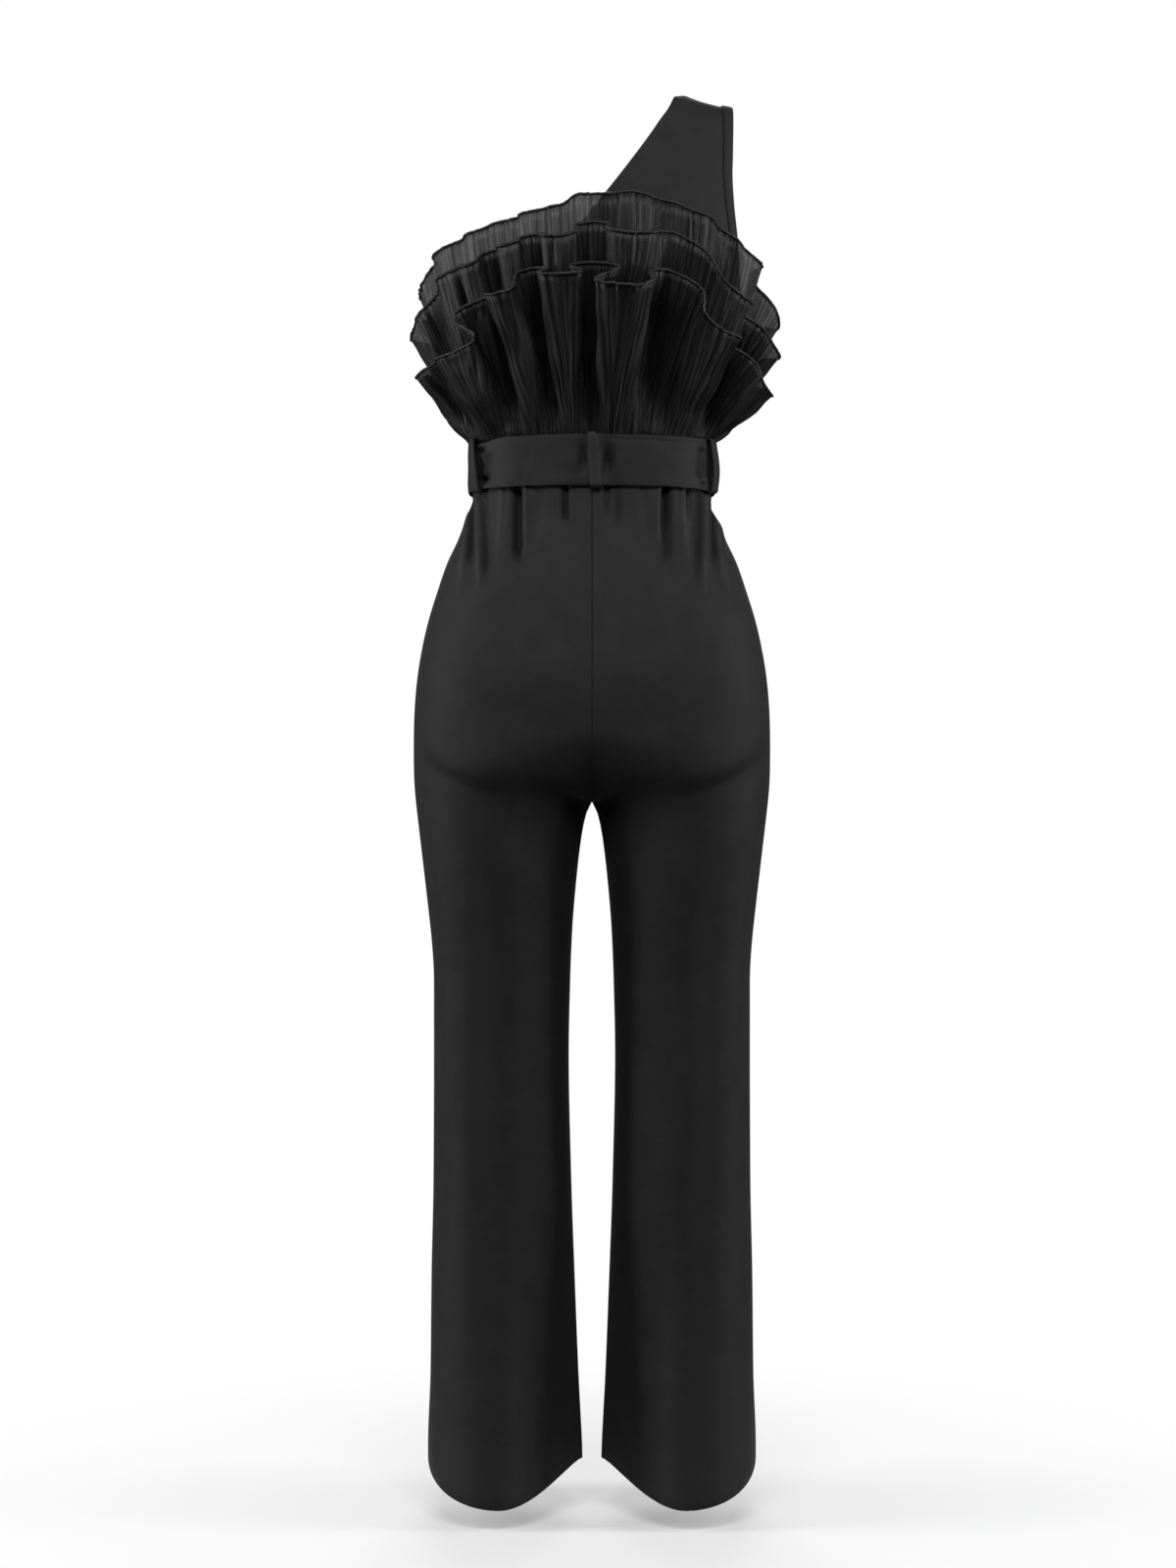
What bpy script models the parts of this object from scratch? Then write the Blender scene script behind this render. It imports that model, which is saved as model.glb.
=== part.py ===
"""A one-shoulder jumpsuit as it hangs when worn: trousers, bodice, three ruffle tiers and a sash belt.

Heights are measured up from the floor that the wearer stands on, and turns go round the body in degrees:
0 at the centre back, 90 at the wearer's right side, 180 at the centre front and 270 at the left side.
The wearer faces -Y. The empty named jumpsuit brings the underside of the shoulder strap to the origin.
"""

import math
from collections import namedtuple

import bpy
from mathutils import Vector

# --- Driving sizes, in metres and degrees ---
CLOTH = 0.0015  # wall of the trousers and the bodice
ORGANZA = 0.0010  # wall of the ruffles
BELT_CLOTH = 0.0024  # the belt is folded double
LOOP_CLOTH = 0.0016
BINDING_CLOTH = 0.0010
SEAM_GAP = 0.0004  # between the edges of two panels
LAY_GAP = 0.0006  # under a piece that lies on a panel

WAIST = 1.066  # the seam between bodice and trousers, under the belt
CROTCH = 0.722
CROTCH_RISE = 0.070  # the height over which the crotch seam turns from upright to level
CROTCH_CLEARANCE = 0.0012  # from the centre plane to the wall of each leg at the crotch

CHEST_TOP = 1.380  # above this the figure turns over the shoulder
SHOULDER_RISE = 0.063
SHOULDER_ARC = 0.105  # length of cloth from CHEST_TOP to the shoulder seam
SHOULDER_SLOPE = 0.27  # fall for each metre outwards
SHOULDER_SLOPE_FROM = 1.250  # it sets in above this height
NECK_EDGE_X = 0.086  # where the strap's neck edge meets the shoulder seam
STRAP_CENTRE_X = -0.114
BINDING_WIDTH = 0.010

BELT_HEIGHT = 0.051
BELT_CENTRE = 1.0625  # at the centre back
BELT_DIP = 0.007  # how much lower it lies at the centre front
BELT_HALF_WIDTH = 0.1253
BELT_BACK_DEPTH = 0.0846
BELT_FRONT_DEPTH = 0.0884
BELT_OVERLAP = 14.0  # turn from the centre front to each end
BELT_STEP_UP = 12.0  # turn over which the upper end climbs on to the lower one
BELT_STEP_CLEARANCE = 2.0  # and it is clear of the lower end this much before it
LOOP_WIDTH = 0.010
LOOP_CLEARANCE = 0.0004
LOOP_CORNER = 0.0012
LOOP_TOP_REACH = -0.0014  # where its upper end stops, inwards of the belt's middle
LOOP_BOTTOM_REACH = 0.0006  # the lower end stops short of the trousers

RUFFLE_BASE_LIFT = 0.0032  # the gathered edge above the belt's top edge
RUFFLE_FLARE = 1.25  # above 1, a tier stands upright at its root and curves outwards above it
RUFFLE_SLIDE = 1.5  # above 1, the waves roll under mostly near their free edge
RUFFLE_FORM_TOP = 1.205  # over the bust: above it the front of a tier no longer follows the figure

HEM_OUTER = 0.062  # height of the hem at the side seam
HEM_INNER = 0.053  # and at the inseam
HEM_BACK_SLOPE = 0.36  # the hem falls towards the back
HEM_FRONT_SLOPE = 0.14  # and rises a little over the instep
HEM_SLOPE_FROM = 0.34  # rows below this height lean towards the hem's slope
LEG_JOIN_FROM = 0.6  # share of the way from side seam to inseam where a pinched leg's panels meet

TROUSER_COLUMNS = 16
BODICE_COLUMNS = 12
BELT_COLUMNS = 60
ARMHOLE_STEPS = 2  # rows of points for each row of the table, from the armhole up
THREADS_PER_SIDE = 5  # threads of a ruffle from a wave's crest to its hollow

# --- Tables: a row for each section or fold ---
TorsoRow = namedtuple("TorsoRow", "height half_width back_depth front_depth")
TORSO = (
    TorsoRow(1.030, 0.1230, 0.0810, 0.0845),
    TorsoRow(1.066, 0.1180, 0.0785, 0.0820),
    TorsoRow(1.110, 0.1240, 0.0815, 0.0890),
    TorsoRow(1.160, 0.1370, 0.0885, 0.1070),
    TorsoRow(1.205, 0.1490, 0.0945, 0.1190),
    TorsoRow(1.250, 0.1590, 0.0985, 0.1150),
    TorsoRow(1.300, 0.1660, 0.0980, 0.1000),
    TorsoRow(1.380, 0.1700, 0.0850, 0.0780),
)

# Both bodice panels: the end towards the bare shoulder, and the end towards the armhole, as turns
# from the panel's own centre line. up is the height, and above CHEST_TOP it goes on along the cloth.
BodiceRow = namedtuple(
    "BodiceRow",
    "row back_left_turn back_left_up front_left_turn front_left_up back_right_turn front_right_turn right_up",
)
BODICE = (
    BodiceRow(0, -90.0, 1.066, -90.0, 1.066, 90.0, 90.0, 1.066),
    BodiceRow(1, -90.0, 1.100, -90.0, 1.100, 90.0, 90.0, 1.102),
    BodiceRow(2, -90.0, 1.135, -90.0, 1.135, 90.0, 90.0, 1.140),
    BodiceRow(3, -90.0, 1.170, -90.0, 1.170, 90.0, 90.0, 1.180),
    BodiceRow(4, -90.0, 1.205, -90.0, 1.205, 90.0, 90.0, 1.213),
    BodiceRow(5, -66.0, 1.212, -52.0, 1.213, 80.0, 79.0, 1.219),
    BodiceRow(6, -46.0, 1.222, -24.0, 1.227, 73.5, 71.0, 1.231),
    BodiceRow(7, -19.0, 1.252, 2.0, 1.255, 66.0, 62.0, 1.262),
    BodiceRow(8, -4.0, 1.290, 18.0, 1.296, 60.5, 55.0, 1.300),
    BodiceRow(9, 6.5, 1.322, 26.0, 1.338, 57.0, 51.0, 1.338),
    BodiceRow(10, 16.0, 1.360, 29.5, 1.372, 55.5, 50.0, 1.374),
    BodiceRow(11, 23.0, 1.395, 31.0, 1.395, 55.8, 51.5, 1.401),
    BodiceRow(12, 27.3, 1.421, 31.3, 1.421, 56.2, 53.5, 1.429),
    BodiceRow(13, 29.5, 1.452, 30.9, 1.452, 56.5, 55.5, 1.457),
    BodiceRow(14, 30.4, 1.485, 30.4, 1.485, 56.6, 56.6, 1.485),
)
ARMHOLE_FROM = 4  # the row of BODICE at the bottom of the armhole

# outer and inner are the side seam's and the inseam's distances from the centre plane. Above the
# crotch there is no inseam. flatness above 1 flattens the back and the front of the seat's section,
# and crease above 1 draws the leg's section in to a crease at the inseam.
TrouserRow = namedtuple("TrouserRow", "height outer inner back_depth front_depth flatness crease")
TROUSERS = (
    TrouserRow(0.030, 0.1665, 0.0090, 0.1010, 0.0990, 1.00, 2.2),
    TrouserRow(0.065, 0.1665, 0.0100, 0.0990, 0.0980, 1.00, 2.2),
    TrouserRow(0.140, 0.1640, 0.0140, 0.0930, 0.0930, 1.00, 1.8),
    TrouserRow(0.240, 0.1630, 0.0180, 0.0870, 0.0870, 1.00, 1.3),
    TrouserRow(0.340, 0.1610, 0.0215, 0.0848, 0.0830, 1.00, 1.0),
    TrouserRow(0.465, 0.1605, 0.0240, 0.0852, 0.0830, 1.00, 1.0),
    TrouserRow(0.540, 0.1605, 0.0225, 0.0882, 0.0860, 1.00, 1.0),
    TrouserRow(0.590, 0.1635, 0.0205, 0.0925, 0.0890, 1.00, 1.0),
    TrouserRow(0.640, 0.1695, 0.0165, 0.0985, 0.0925, 1.00, 1.0),
    TrouserRow(0.690, 0.1745, 0.0105, 0.1078, 0.0950, 1.00, 1.0),
    TrouserRow(0.712, 0.1780, 0.0055, 0.1120, 0.0965, 1.05, 1.0),
    TrouserRow(0.722, 0.1795, CROTCH_CLEARANCE, 0.1142, 0.0970, 1.10, 1.0),
    TrouserRow(0.750, 0.1808, CROTCH_CLEARANCE, 0.1195, 0.0990, 1.20, 1.0),
    TrouserRow(0.790, 0.1810, CROTCH_CLEARANCE, 0.1232, 0.1010, 1.25, 1.0),
    TrouserRow(0.840, 0.1785, CROTCH_CLEARANCE, 0.1215, 0.1020, 1.25, 1.0),
    TrouserRow(0.890, 0.1700, CROTCH_CLEARANCE, 0.1125, 0.1000, 1.20, 1.0),
    TrouserRow(0.940, 0.1555, CROTCH_CLEARANCE, 0.1015, 0.0960, 1.12, 1.0),
    TrouserRow(0.965, 0.1470, CROTCH_CLEARANCE, 0.0955, 0.0930, 1.07, 1.0),
    TrouserRow(0.990, 0.1355, CROTCH_CLEARANCE, 0.0895, 0.0900, 1.02, 1.0),
    TrouserRow(1.015, 0.1268, CROTCH_CLEARANCE, 0.0840, 0.0870, 1.00, 1.0),
    TrouserRow(1.040, 0.1200, CROTCH_CLEARANCE, 0.0800, 0.0835, 1.00, 1.0),
    TrouserRow(1.066, 0.1165, CROTCH_CLEARANCE, 0.0772, 0.0806, 1.00, 1.0),
)
TROUSER_ROWS_ABOVE = (1.0656, 1.045, 1.020, 0.990, 0.950, 0.900, 0.845, 0.792)
TROUSER_ROWS_CROTCH = (18.0, 36.0, 54.0, 72.0, 90.0)  # turns along the crotch curve
TROUSER_ROWS_BELOW = (0.695, 0.650, 0.580, 0.480, 0.360, 0.240, 0.130, 0.055)

# The soft pleats that fall from the belt, as turns round the waist.
Pleat = namedtuple("Pleat", "turn depth width length")
PLEATS = (
    Pleat(-58.0, 0.0080, 5.0, 0.19),
    Pleat(-36.0, 0.0095, 5.0, 0.17),
    Pleat(-12.0, 0.0040, 5.0, 0.10),
    Pleat(9.0, 0.0030, 5.0, 0.08),
    Pleat(35.0, 0.0085, 4.5, 0.15),
    Pleat(47.0, 0.0060, 4.5, 0.13),
    Pleat(63.0, 0.0090, 5.0, 0.19),
    Pleat(112.0, 0.0070, 5.0, 0.16),
    Pleat(134.0, 0.0085, 5.0, 0.15),
    Pleat(155.0, 0.0055, 5.0, 0.12),
    Pleat(207.0, 0.0055, 5.0, 0.13),
    Pleat(228.0, 0.0085, 5.0, 0.16),
    Pleat(250.0, 0.0070, 5.0, 0.15),
)

# How far a tier's gathered edge stands off the bodice, and how broad its waves are: below 1 the waves
# are broad and the hollows narrow.
Tier = namedtuple("Tier", "name stand_off breadth")
TIERS = (
    Tier("ruffle_inner", 0.0018, 0.90),
    Tier("ruffle_middle", 0.0036, 0.80),
    Tier("ruffle_outer", 0.0054, 0.75),
)

# The waves round each tier, each a crest and the hollow after it, by turns. lean is how far the cloth
# leans out from the bodice, depth is its length from the gathered edge, and a curl above 1 rolls that
# side of the crest under.
Wave = namedtuple("Wave", "crest lean depth curl_before curl_after hollow hollow_lean hollow_depth")
WAVES = {
    "ruffle_outer": (
        Wave(-84.0, 30.0, 0.074, 1.2, 0.8, -72.0, 24.0, 0.076),
        Wave(-50.5, 31.0, 0.088, 0.6, 3.5, -36.5, 14.0, 0.131),
        Wave(-25.5, 32.0, 0.147, 1.3, 1.7, -18.5, 12.0, 0.157),
        Wave(-9.5, 30.0, 0.162, 2.0, 2.2, 0.0, 15.0, 0.162),
        Wave(8.5, 38.0, 0.162, 3.8, 1.2, 24.0, 12.0, 0.156),
        Wave(46.0, 31.0, 0.107, 1.2, 1.8, 57.0, 17.0, 0.088),
        Wave(75.0, 51.0, 0.068, 1.0, 1.2, 88.0, 24.0, 0.058),
        Wave(101.0, 34.0, 0.056, 0.9, 1.0, 114.0, 17.0, 0.070),
        Wave(120.0, 30.0, 0.090, 1.5, 1.3, 133.0, 13.0, 0.118),
        Wave(146.0, 30.0, 0.146, 1.4, 1.8, 156.0, 14.0, 0.156),
        Wave(168.0, 34.0, 0.160, 2.2, 1.5, 182.0, 11.0, 0.163),
        Wave(196.0, 31.0, 0.160, 1.4, 2.0, 207.0, 13.0, 0.152),
        Wave(219.0, 32.0, 0.130, 1.7, 1.3, 233.0, 14.0, 0.104),
        Wave(246.0, 29.0, 0.082, 1.4, 1.5, 262.0, 15.0, 0.070),
    ),
    "ruffle_middle": (
        Wave(-84.0, 18.0, 0.109, 1.4, 1.7, -69.0, 6.0, 0.138),
        Wave(-53.0, 8.0, 0.160, 1.0, 0.8, -46.0, 6.0, 0.164),
        Wave(-41.0, 13.5, 0.164, 1.3, 1.2, -33.0, 6.0, 0.177),
        Wave(-27.0, 12.0, 0.181, 0.8, 0.9, -19.5, 6.0, 0.190),
        Wave(-9.5, 18.0, 0.190, 1.3, 1.5, 0.0, 4.5, 0.202),
        Wave(10.0, 19.0, 0.194, 1.7, 1.3, 27.0, 4.5, 0.194),
        Wave(51.0, 20.0, 0.138, 0.8, 1.5, 62.0, 10.0, 0.120),
        Wave(80.0, 30.0, 0.096, 1.2, 1.3, 92.0, 16.0, 0.084),
        Wave(102.0, 20.0, 0.082, 0.8, 1.1, 113.0, 8.0, 0.098),
        Wave(120.0, 20.0, 0.122, 1.4, 1.2, 133.0, 7.0, 0.152),
        Wave(146.0, 19.0, 0.178, 1.1, 1.3, 156.0, 6.0, 0.191),
        Wave(169.0, 19.0, 0.194, 1.4, 1.1, 182.0, 6.0, 0.200),
        Wave(196.0, 20.0, 0.188, 1.1, 1.3, 207.0, 6.5, 0.178),
        Wave(220.0, 20.0, 0.154, 1.5, 1.2, 233.0, 8.0, 0.130),
        Wave(247.0, 17.0, 0.108, 1.3, 1.3, 260.0, 9.0, 0.100),
    ),
    "ruffle_inner": (
        Wave(-83.0, 6.5, 0.151, 0.9, 1.0, -71.0, 3.0, 0.168),
        Wave(-58.0, 4.5, 0.185, 1.0, 0.7, -50.0, 3.0, 0.190),
        Wave(-42.0, 5.5, 0.196, 0.5, 0.5, -29.0, 3.5, 0.206),
        Wave(-19.0, 6.0, 0.213, 0.8, 0.6, -10.0, 3.0, 0.220),
        Wave(-4.0, 4.0, 0.230, 0.5, 0.7, 4.0, 2.5, 0.231),
        Wave(13.0, 4.5, 0.233, 0.6, 0.5, 24.0, 3.0, 0.226),
        Wave(37.0, 5.5, 0.214, 0.5, 0.5, 49.0, 4.0, 0.198),
        Wave(62.0, 9.0, 0.175, 0.9, 1.8, 72.0, 3.5, 0.158),
        Wave(84.0, 19.5, 0.120, 1.0, 1.6, 96.0, 5.0, 0.116),
        Wave(108.0, 7.5, 0.132, 1.2, 1.1, 120.0, 4.0, 0.152),
        Wave(133.0, 5.5, 0.178, 0.9, 0.8, 146.0, 3.5, 0.198),
        Wave(159.0, 4.5, 0.214, 0.6, 0.6, 172.0, 2.5, 0.224),
        Wave(185.0, 4.0, 0.227, 0.6, 0.6, 198.0, 3.0, 0.220),
        Wave(210.0, 4.5, 0.206, 0.6, 0.8, 223.0, 3.5, 0.188),
        Wave(236.0, 6.5, 0.164, 1.0, 1.1, 248.0, 4.0, 0.144),
        Wave(259.0, 9.0, 0.128, 1.1, 1.1, 265.0, 6.0, 0.127),
    ),
}
RUFFLE_ROWS = (0.0, 0.34, 0.67, 1.0)  # shares of a tier's depth, from its gathered edge

# A belt loop's turn at the centre of the belt, and how far its lower end leans to the wearer's right.
Loop = namedtuple("Loop", "name turn lean")
LOOPS = (
    Loop("belt_loop_back", 0.5, 0.004),
    Loop("belt_loop_left", -69.0, 0.006),
    Loop("belt_loop_right", 69.0, 0.003),
)


# --- Small helpers ---
def smooth_value(table, where, column, key="height"):
    """One column of a table where its key column is a given value, on a smooth curve through its rows."""
    keys = [getattr(row, key) for row in table]
    values = [getattr(row, column) for row in table]
    where = min(max(where, keys[0]), keys[-1])
    steps = [after - before for before, after in zip(keys, keys[1:])]
    slopes = [(values[k + 1] - values[k]) / steps[k] for k in range(len(steps))]
    i = max(k for k in range(len(steps)) if keys[k] <= where)

    def tangent(k):
        before, after = slopes[max(k - 1, 0)], slopes[min(k, len(slopes) - 1)]
        return 0.0 if before * after <= 0 else 2 * before * after / (before + after)

    t = (where - keys[i]) / steps[i]
    rise = values[i + 1] - values[i]
    start, end = tangent(i) * steps[i], tangent(i + 1) * steps[i]
    return values[i] + t * start + t * t * (3 * rise - 2 * start - end) + t**3 * (start + end - 2 * rise)


def between(low, high, share):
    return low + (high - low) * share


def ease(low, high, value):
    """0 below low and 1 above high, with a smooth rise between them."""
    t = min(max((value - low) / (high - low), 0.0), 1.0)
    return t * t * (3 - 2 * t)


def ring_point(turn, half_width, back_depth, front_depth, height):
    """A point on a level ring round the body."""
    angle = math.radians(turn)
    depth = back_depth if math.cos(angle) > 0 else front_depth
    return Vector((-half_width * math.sin(angle), depth * math.cos(angle), height))


def ring_normal(turn, half_width, back_depth, front_depth):
    """The level direction out of that ring."""
    angle = math.radians(turn)
    depth = back_depth if math.cos(angle) > 0 else front_depth
    return Vector((-depth * math.sin(angle), half_width * math.cos(angle), 0.0)).normalized()


def material(name, colour, roughness, sheen=0.0, alpha=1.0):
    made = bpy.data.materials.new(name)
    made.use_nodes = True
    shader = made.node_tree.nodes["Principled BSDF"]
    shader.inputs["Base Color"].default_value = (*colour, 1.0)
    shader.inputs["Roughness"].default_value = roughness
    shader.inputs["Sheen Weight"].default_value = sheen
    shader.inputs["Alpha"].default_value = alpha
    return made


def cloth_wall(name, rows, wall, finish, closed=False):
    """A cloth of even thickness, its middle surface through rows of points. closed joins each row's ends."""
    count = len(rows[0])
    faces = []
    for r in range(len(rows) - 1):
        for c in range(count if closed else count - 1):
            after = (c + 1) % count
            faces.append((r * count + c, r * count + after, (r + 1) * count + after, (r + 1) * count + c))
    mesh = bpy.data.meshes.new(name)
    mesh.from_pydata([point for row in rows for point in row], [], faces)
    mesh.shade_smooth()
    mesh.materials.append(finish)
    piece = bpy.data.objects.new(name, mesh)
    bpy.data.collections["jumpsuit"].objects.link(piece)
    piece.parent = bpy.data.objects["jumpsuit"]
    solidify = piece.modifiers.new("wall", "SOLIDIFY")
    solidify.thickness = wall
    solidify.offset = 0.0
    return piece


# --- Bodice ---
def torso_ring(up):
    """(half width, back depth, front depth, height) of the figure.

    Past CHEST_TOP, up goes on over the shoulder.
    """
    low = min(up, CHEST_TOP)
    half_width, back, front = (smooth_value(TORSO, low, column) for column in TorsoRow._fields[1:])
    over = math.radians(90) * max(up - CHEST_TOP, 0.0) / SHOULDER_ARC
    return half_width, back * math.cos(over), front * math.cos(over), low + SHOULDER_RISE * math.sin(over)


def torso_point(turn, up):
    point = ring_point(turn, *torso_ring(up))
    outwards = abs(point.x) - NECK_EDGE_X
    point.z -= SHOULDER_SLOPE * outwards * ease(SHOULDER_SLOPE_FROM, CHEST_TOP, up)
    return point


def torso_frame(turn, up):
    """The point there, its outward normal, and how it moves for a degree of turn and for a metre of up."""
    turn_step, up_step = 0.5, 0.0005
    along_turn = (torso_point(turn + turn_step, up) - torso_point(turn - turn_step, up)) / (2 * turn_step)
    along_up = (torso_point(turn, up + up_step) - torso_point(turn, up - up_step)) / (2 * up_step)
    return torso_point(turn, up), along_turn.cross(along_up).normalized(), along_turn, along_up


def bodice_levels():
    """The rows of points as places in the table, with steps between its rows from the armhole up."""
    below = list(range(ARMHOLE_FROM))
    steps = (len(BODICE) - 1 - ARMHOLE_FROM) * ARMHOLE_STEPS
    return below + [ARMHOLE_FROM + step / ARMHOLE_STEPS for step in range(steps + 1)]


def bodice_row(level, face):
    """(left turn, left up, right turn, right up) there, with turns from the panel's own centre line."""
    columns = (f"{face}_left_turn", f"{face}_left_up", f"{face}_right_turn", "right_up")
    return [smooth_value(BODICE, level, column, key="row") for column in columns]


def bodice_panel(face):
    """Rows of points of the back or the front panel."""
    rows = []
    for level in bodice_levels():
        left_turn, left_up, right_turn, right_up = bodice_row(level, face)
        points = []
        for column in range(BODICE_COLUMNS + 1):
            share = column / BODICE_COLUMNS
            turn = between(left_turn, right_turn, share)
            point = torso_point(turn if face == "back" else 180 - turn, between(left_up, right_up, share))
            point.y += SEAM_GAP / 2 if face == "back" else -SEAM_GAP / 2
            points.append(point)
        rows.append(points)
    return rows


def armhole_edge():
    """(turn, up) of each point round the armhole, up the back and down the front."""
    levels = [level for level in bodice_levels() if level >= ARMHOLE_FROM]
    back = [bodice_row(level, "back")[2:] for level in levels]
    front = [bodice_row(level, "front")[2:] for level in levels]
    # The two ends of the front edge are the same places as the back edge's.
    return [tuple(place) for place in back] + [(180 - turn, up) for turn, up in reversed(front[1:-1])]


def armhole_binding():
    """Two rows of points: round the armhole's edge and a binding's width inside it, lifted off the bodice."""
    edge = armhole_edge()
    lift = CLOTH / 2 + LAY_GAP + BINDING_CLOTH / 2
    outer, inner = [], []
    for i, (turn, up) in enumerate(edge):
        point, normal, along_turn, along_up = torso_frame(turn, up)
        tangent = (torso_point(*edge[(i + 1) % len(edge)]) - torso_point(*edge[i - 1])).normalized()
        inwards = normal.cross(tangent).normalized() * BINDING_WIDTH
        # The step in turn and up whose place on the figure is nearest to inwards.
        tt, tu, uu = along_turn.dot(along_turn), along_turn.dot(along_up), along_up.dot(along_up)
        it, iu = inwards.dot(along_turn), inwards.dot(along_up)
        scale = tt * uu - tu * tu
        inner_turn = turn + (it * uu - iu * tu) / scale
        inner_up = up + (iu * tt - it * tu) / scale
        inner_point, inner_normal = torso_frame(inner_turn, inner_up)[:2]
        outer.append(point + normal * lift)
        inner.append(inner_point + inner_normal * lift)
    return [outer, inner]


# --- Trousers ---
def pleat_depth(turn, height):
    """How far the pleats draw the cloth in at that turn of the waist."""
    depth = 0.0
    for pleat in PLEATS:
        away = (turn - pleat.turn + 180) % 360 - 180
        fall = ease(0.0, pleat.length, WAIST - BELT_HEIGHT / 2 - height)
        depth += pleat.depth * math.exp(-((away / pleat.width) ** 2)) * (1 - fall)
    return depth


def trouser_point(share, outer_height, inner_height, crotch_turn, side, face):
    """A point of a panel, with share 0 at the side seam and 1 at the centre seam or inseam.

    side is 1 on the wearer's left and face is 1 at the back. crotch_turn is 0 above the crotch curve,
    where both legs share one ring, and 90 below it.
    """
    height = between(outer_height, inner_height, ease(0.0, 1.0, share))
    columns = TrouserRow._fields[1:]
    outer, inner, back, front, flatness, crease = (smooth_value(TROUSERS, height, c) for c in columns)
    depth = back if face > 0 else front
    legs = math.sin(math.radians(crotch_turn))
    inner = between(SEAM_GAP / 2, inner, legs)
    angle, last = math.radians(share * (90 + crotch_turn)), math.radians(90 + crotch_turn)
    power = 1 / between(flatness, 1.0, legs)
    across = (math.cos(angle) - math.cos(last)) / (1 - math.cos(last))
    x = between(inner, outer, max(across, 0.0) ** power)
    y = depth * max(math.sin(angle), 0.0) ** (crease if share > 0.5 and legs == 1 else power)
    turn = math.degrees(math.atan2(x, y))
    drawn_in = pleat_depth(-turn * side if face > 0 else 180 + turn * side, height)
    outwards = Vector((x / outer**2, y / depth**2)).normalized()
    x, y = x - outwards.x * drawn_in, y - outwards.y * drawn_in
    # Where the leg is pinched its two panels lie side by side, so each stands off by half a wall.
    side_by_side = ease(1.0, 2.0, crease) * ease(LEG_JOIN_FROM, 1.0, share) * CLOTH / 2
    slope = HEM_BACK_SLOPE if face > 0 else -HEM_FRONT_SLOPE
    hem = between(HEM_OUTER, HEM_INNER, share) - slope * y
    lean = ease(HEM_SLOPE_FROM, TROUSER_ROWS_BELOW[-1], height) if height < HEM_SLOPE_FROM else 0.0
    z = height + lean * (hem - TROUSER_ROWS_BELOW[-1])
    return Vector((x * side, (y + SEAM_GAP / 2 + side_by_side) * face, z))


def trouser_panel(side, face):
    """Rows of points from the waist to the hem, each from the side seam to the centre seam or inseam."""
    levels = [(height, height, 0.0) for height in TROUSER_ROWS_ABOVE]
    for turn in TROUSER_ROWS_CROTCH:
        outer_height = CROTCH + CROTCH_RISE * (1 - turn / 90)
        inner_height = CROTCH + CROTCH_RISE * (1 - math.sin(math.radians(turn)))
        levels.append((outer_height, inner_height, turn))
    levels += [(height, height, 90.0) for height in TROUSER_ROWS_BELOW]
    shares = [column / TROUSER_COLUMNS for column in range(TROUSER_COLUMNS + 1)]
    return [[trouser_point(share, *level, side, face) for share in shares] for level in levels]


# --- Belt and loops ---
def belt_dip(turn):
    return BELT_DIP * ((1 - math.cos(math.radians(turn))) / 2) ** 2


def belt_ring(turn, lift=0.0):
    """The middle of the belt's wall at the height of its centre line, moved out by lift."""
    ring = (BELT_HALF_WIDTH, BELT_BACK_DEPTH, BELT_FRONT_DEPTH)
    return ring_point(turn, *ring, BELT_CENTRE - belt_dip(turn)) + ring_normal(turn, *ring) * lift


def belt_rows():
    """The belt goes once round and its second end climbs over the first."""
    start, end = -180.0 - BELT_OVERLAP, 180.0 + BELT_OVERLAP
    climb_end = 180.0 - BELT_OVERLAP - BELT_STEP_CLEARANCE
    rows = []
    for share in (-0.5, 0.0, 0.5):
        row = []
        for column in range(BELT_COLUMNS + 1):
            turn = between(start, end, column / BELT_COLUMNS)
            lift = (BELT_CLOTH + LAY_GAP) * ease(climb_end - BELT_STEP_UP, climb_end, turn)
            row.append(belt_ring(turn, lift) + Vector((0, 0, share * BELT_HEIGHT)))
        rows.append(row)
    return rows


def loop_rows(loop):
    """A strip that goes round the belt's outside and turns in over its top and bottom edges."""
    ring = (BELT_HALF_WIDTH, BELT_BACK_DEPTH, BELT_FRONT_DEPTH)
    outwards = ring_normal(loop.turn, *ring)
    rightwards = Vector((0, 0, 1)).cross(outwards)
    centre = belt_ring(loop.turn)
    front = BELT_CLOTH / 2 + LOOP_CLEARANCE + LOOP_CLOTH / 2
    top = BELT_HEIGHT / 2 + LOOP_CLEARANCE + LOOP_CLOTH / 2
    path = [(LOOP_TOP_REACH, top), (front - LOOP_CORNER, top), (front, top - LOOP_CORNER), (front, top / 3)]
    path += [(reach, -height) for reach, height in reversed(path[1:])]
    path.append((LOOP_BOTTOM_REACH, -top))
    rows = []
    for across in (-0.5, 0.5):
        row = []
        for reach, height in path:
            lean = loop.lean * (0.5 - height / (2 * top))
            sideways = rightwards * (across * LOOP_WIDTH + lean)
            row.append(centre + outwards * reach + sideways + Vector((0, 0, height)))
        rows.append(row)
    return rows


# --- Ruffles ---
# A thread runs up a tier's cloth from root_turn at the waist to edge_turn at the free edge.
Thread = namedtuple("Thread", "root_turn edge_turn lean depth")


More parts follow.
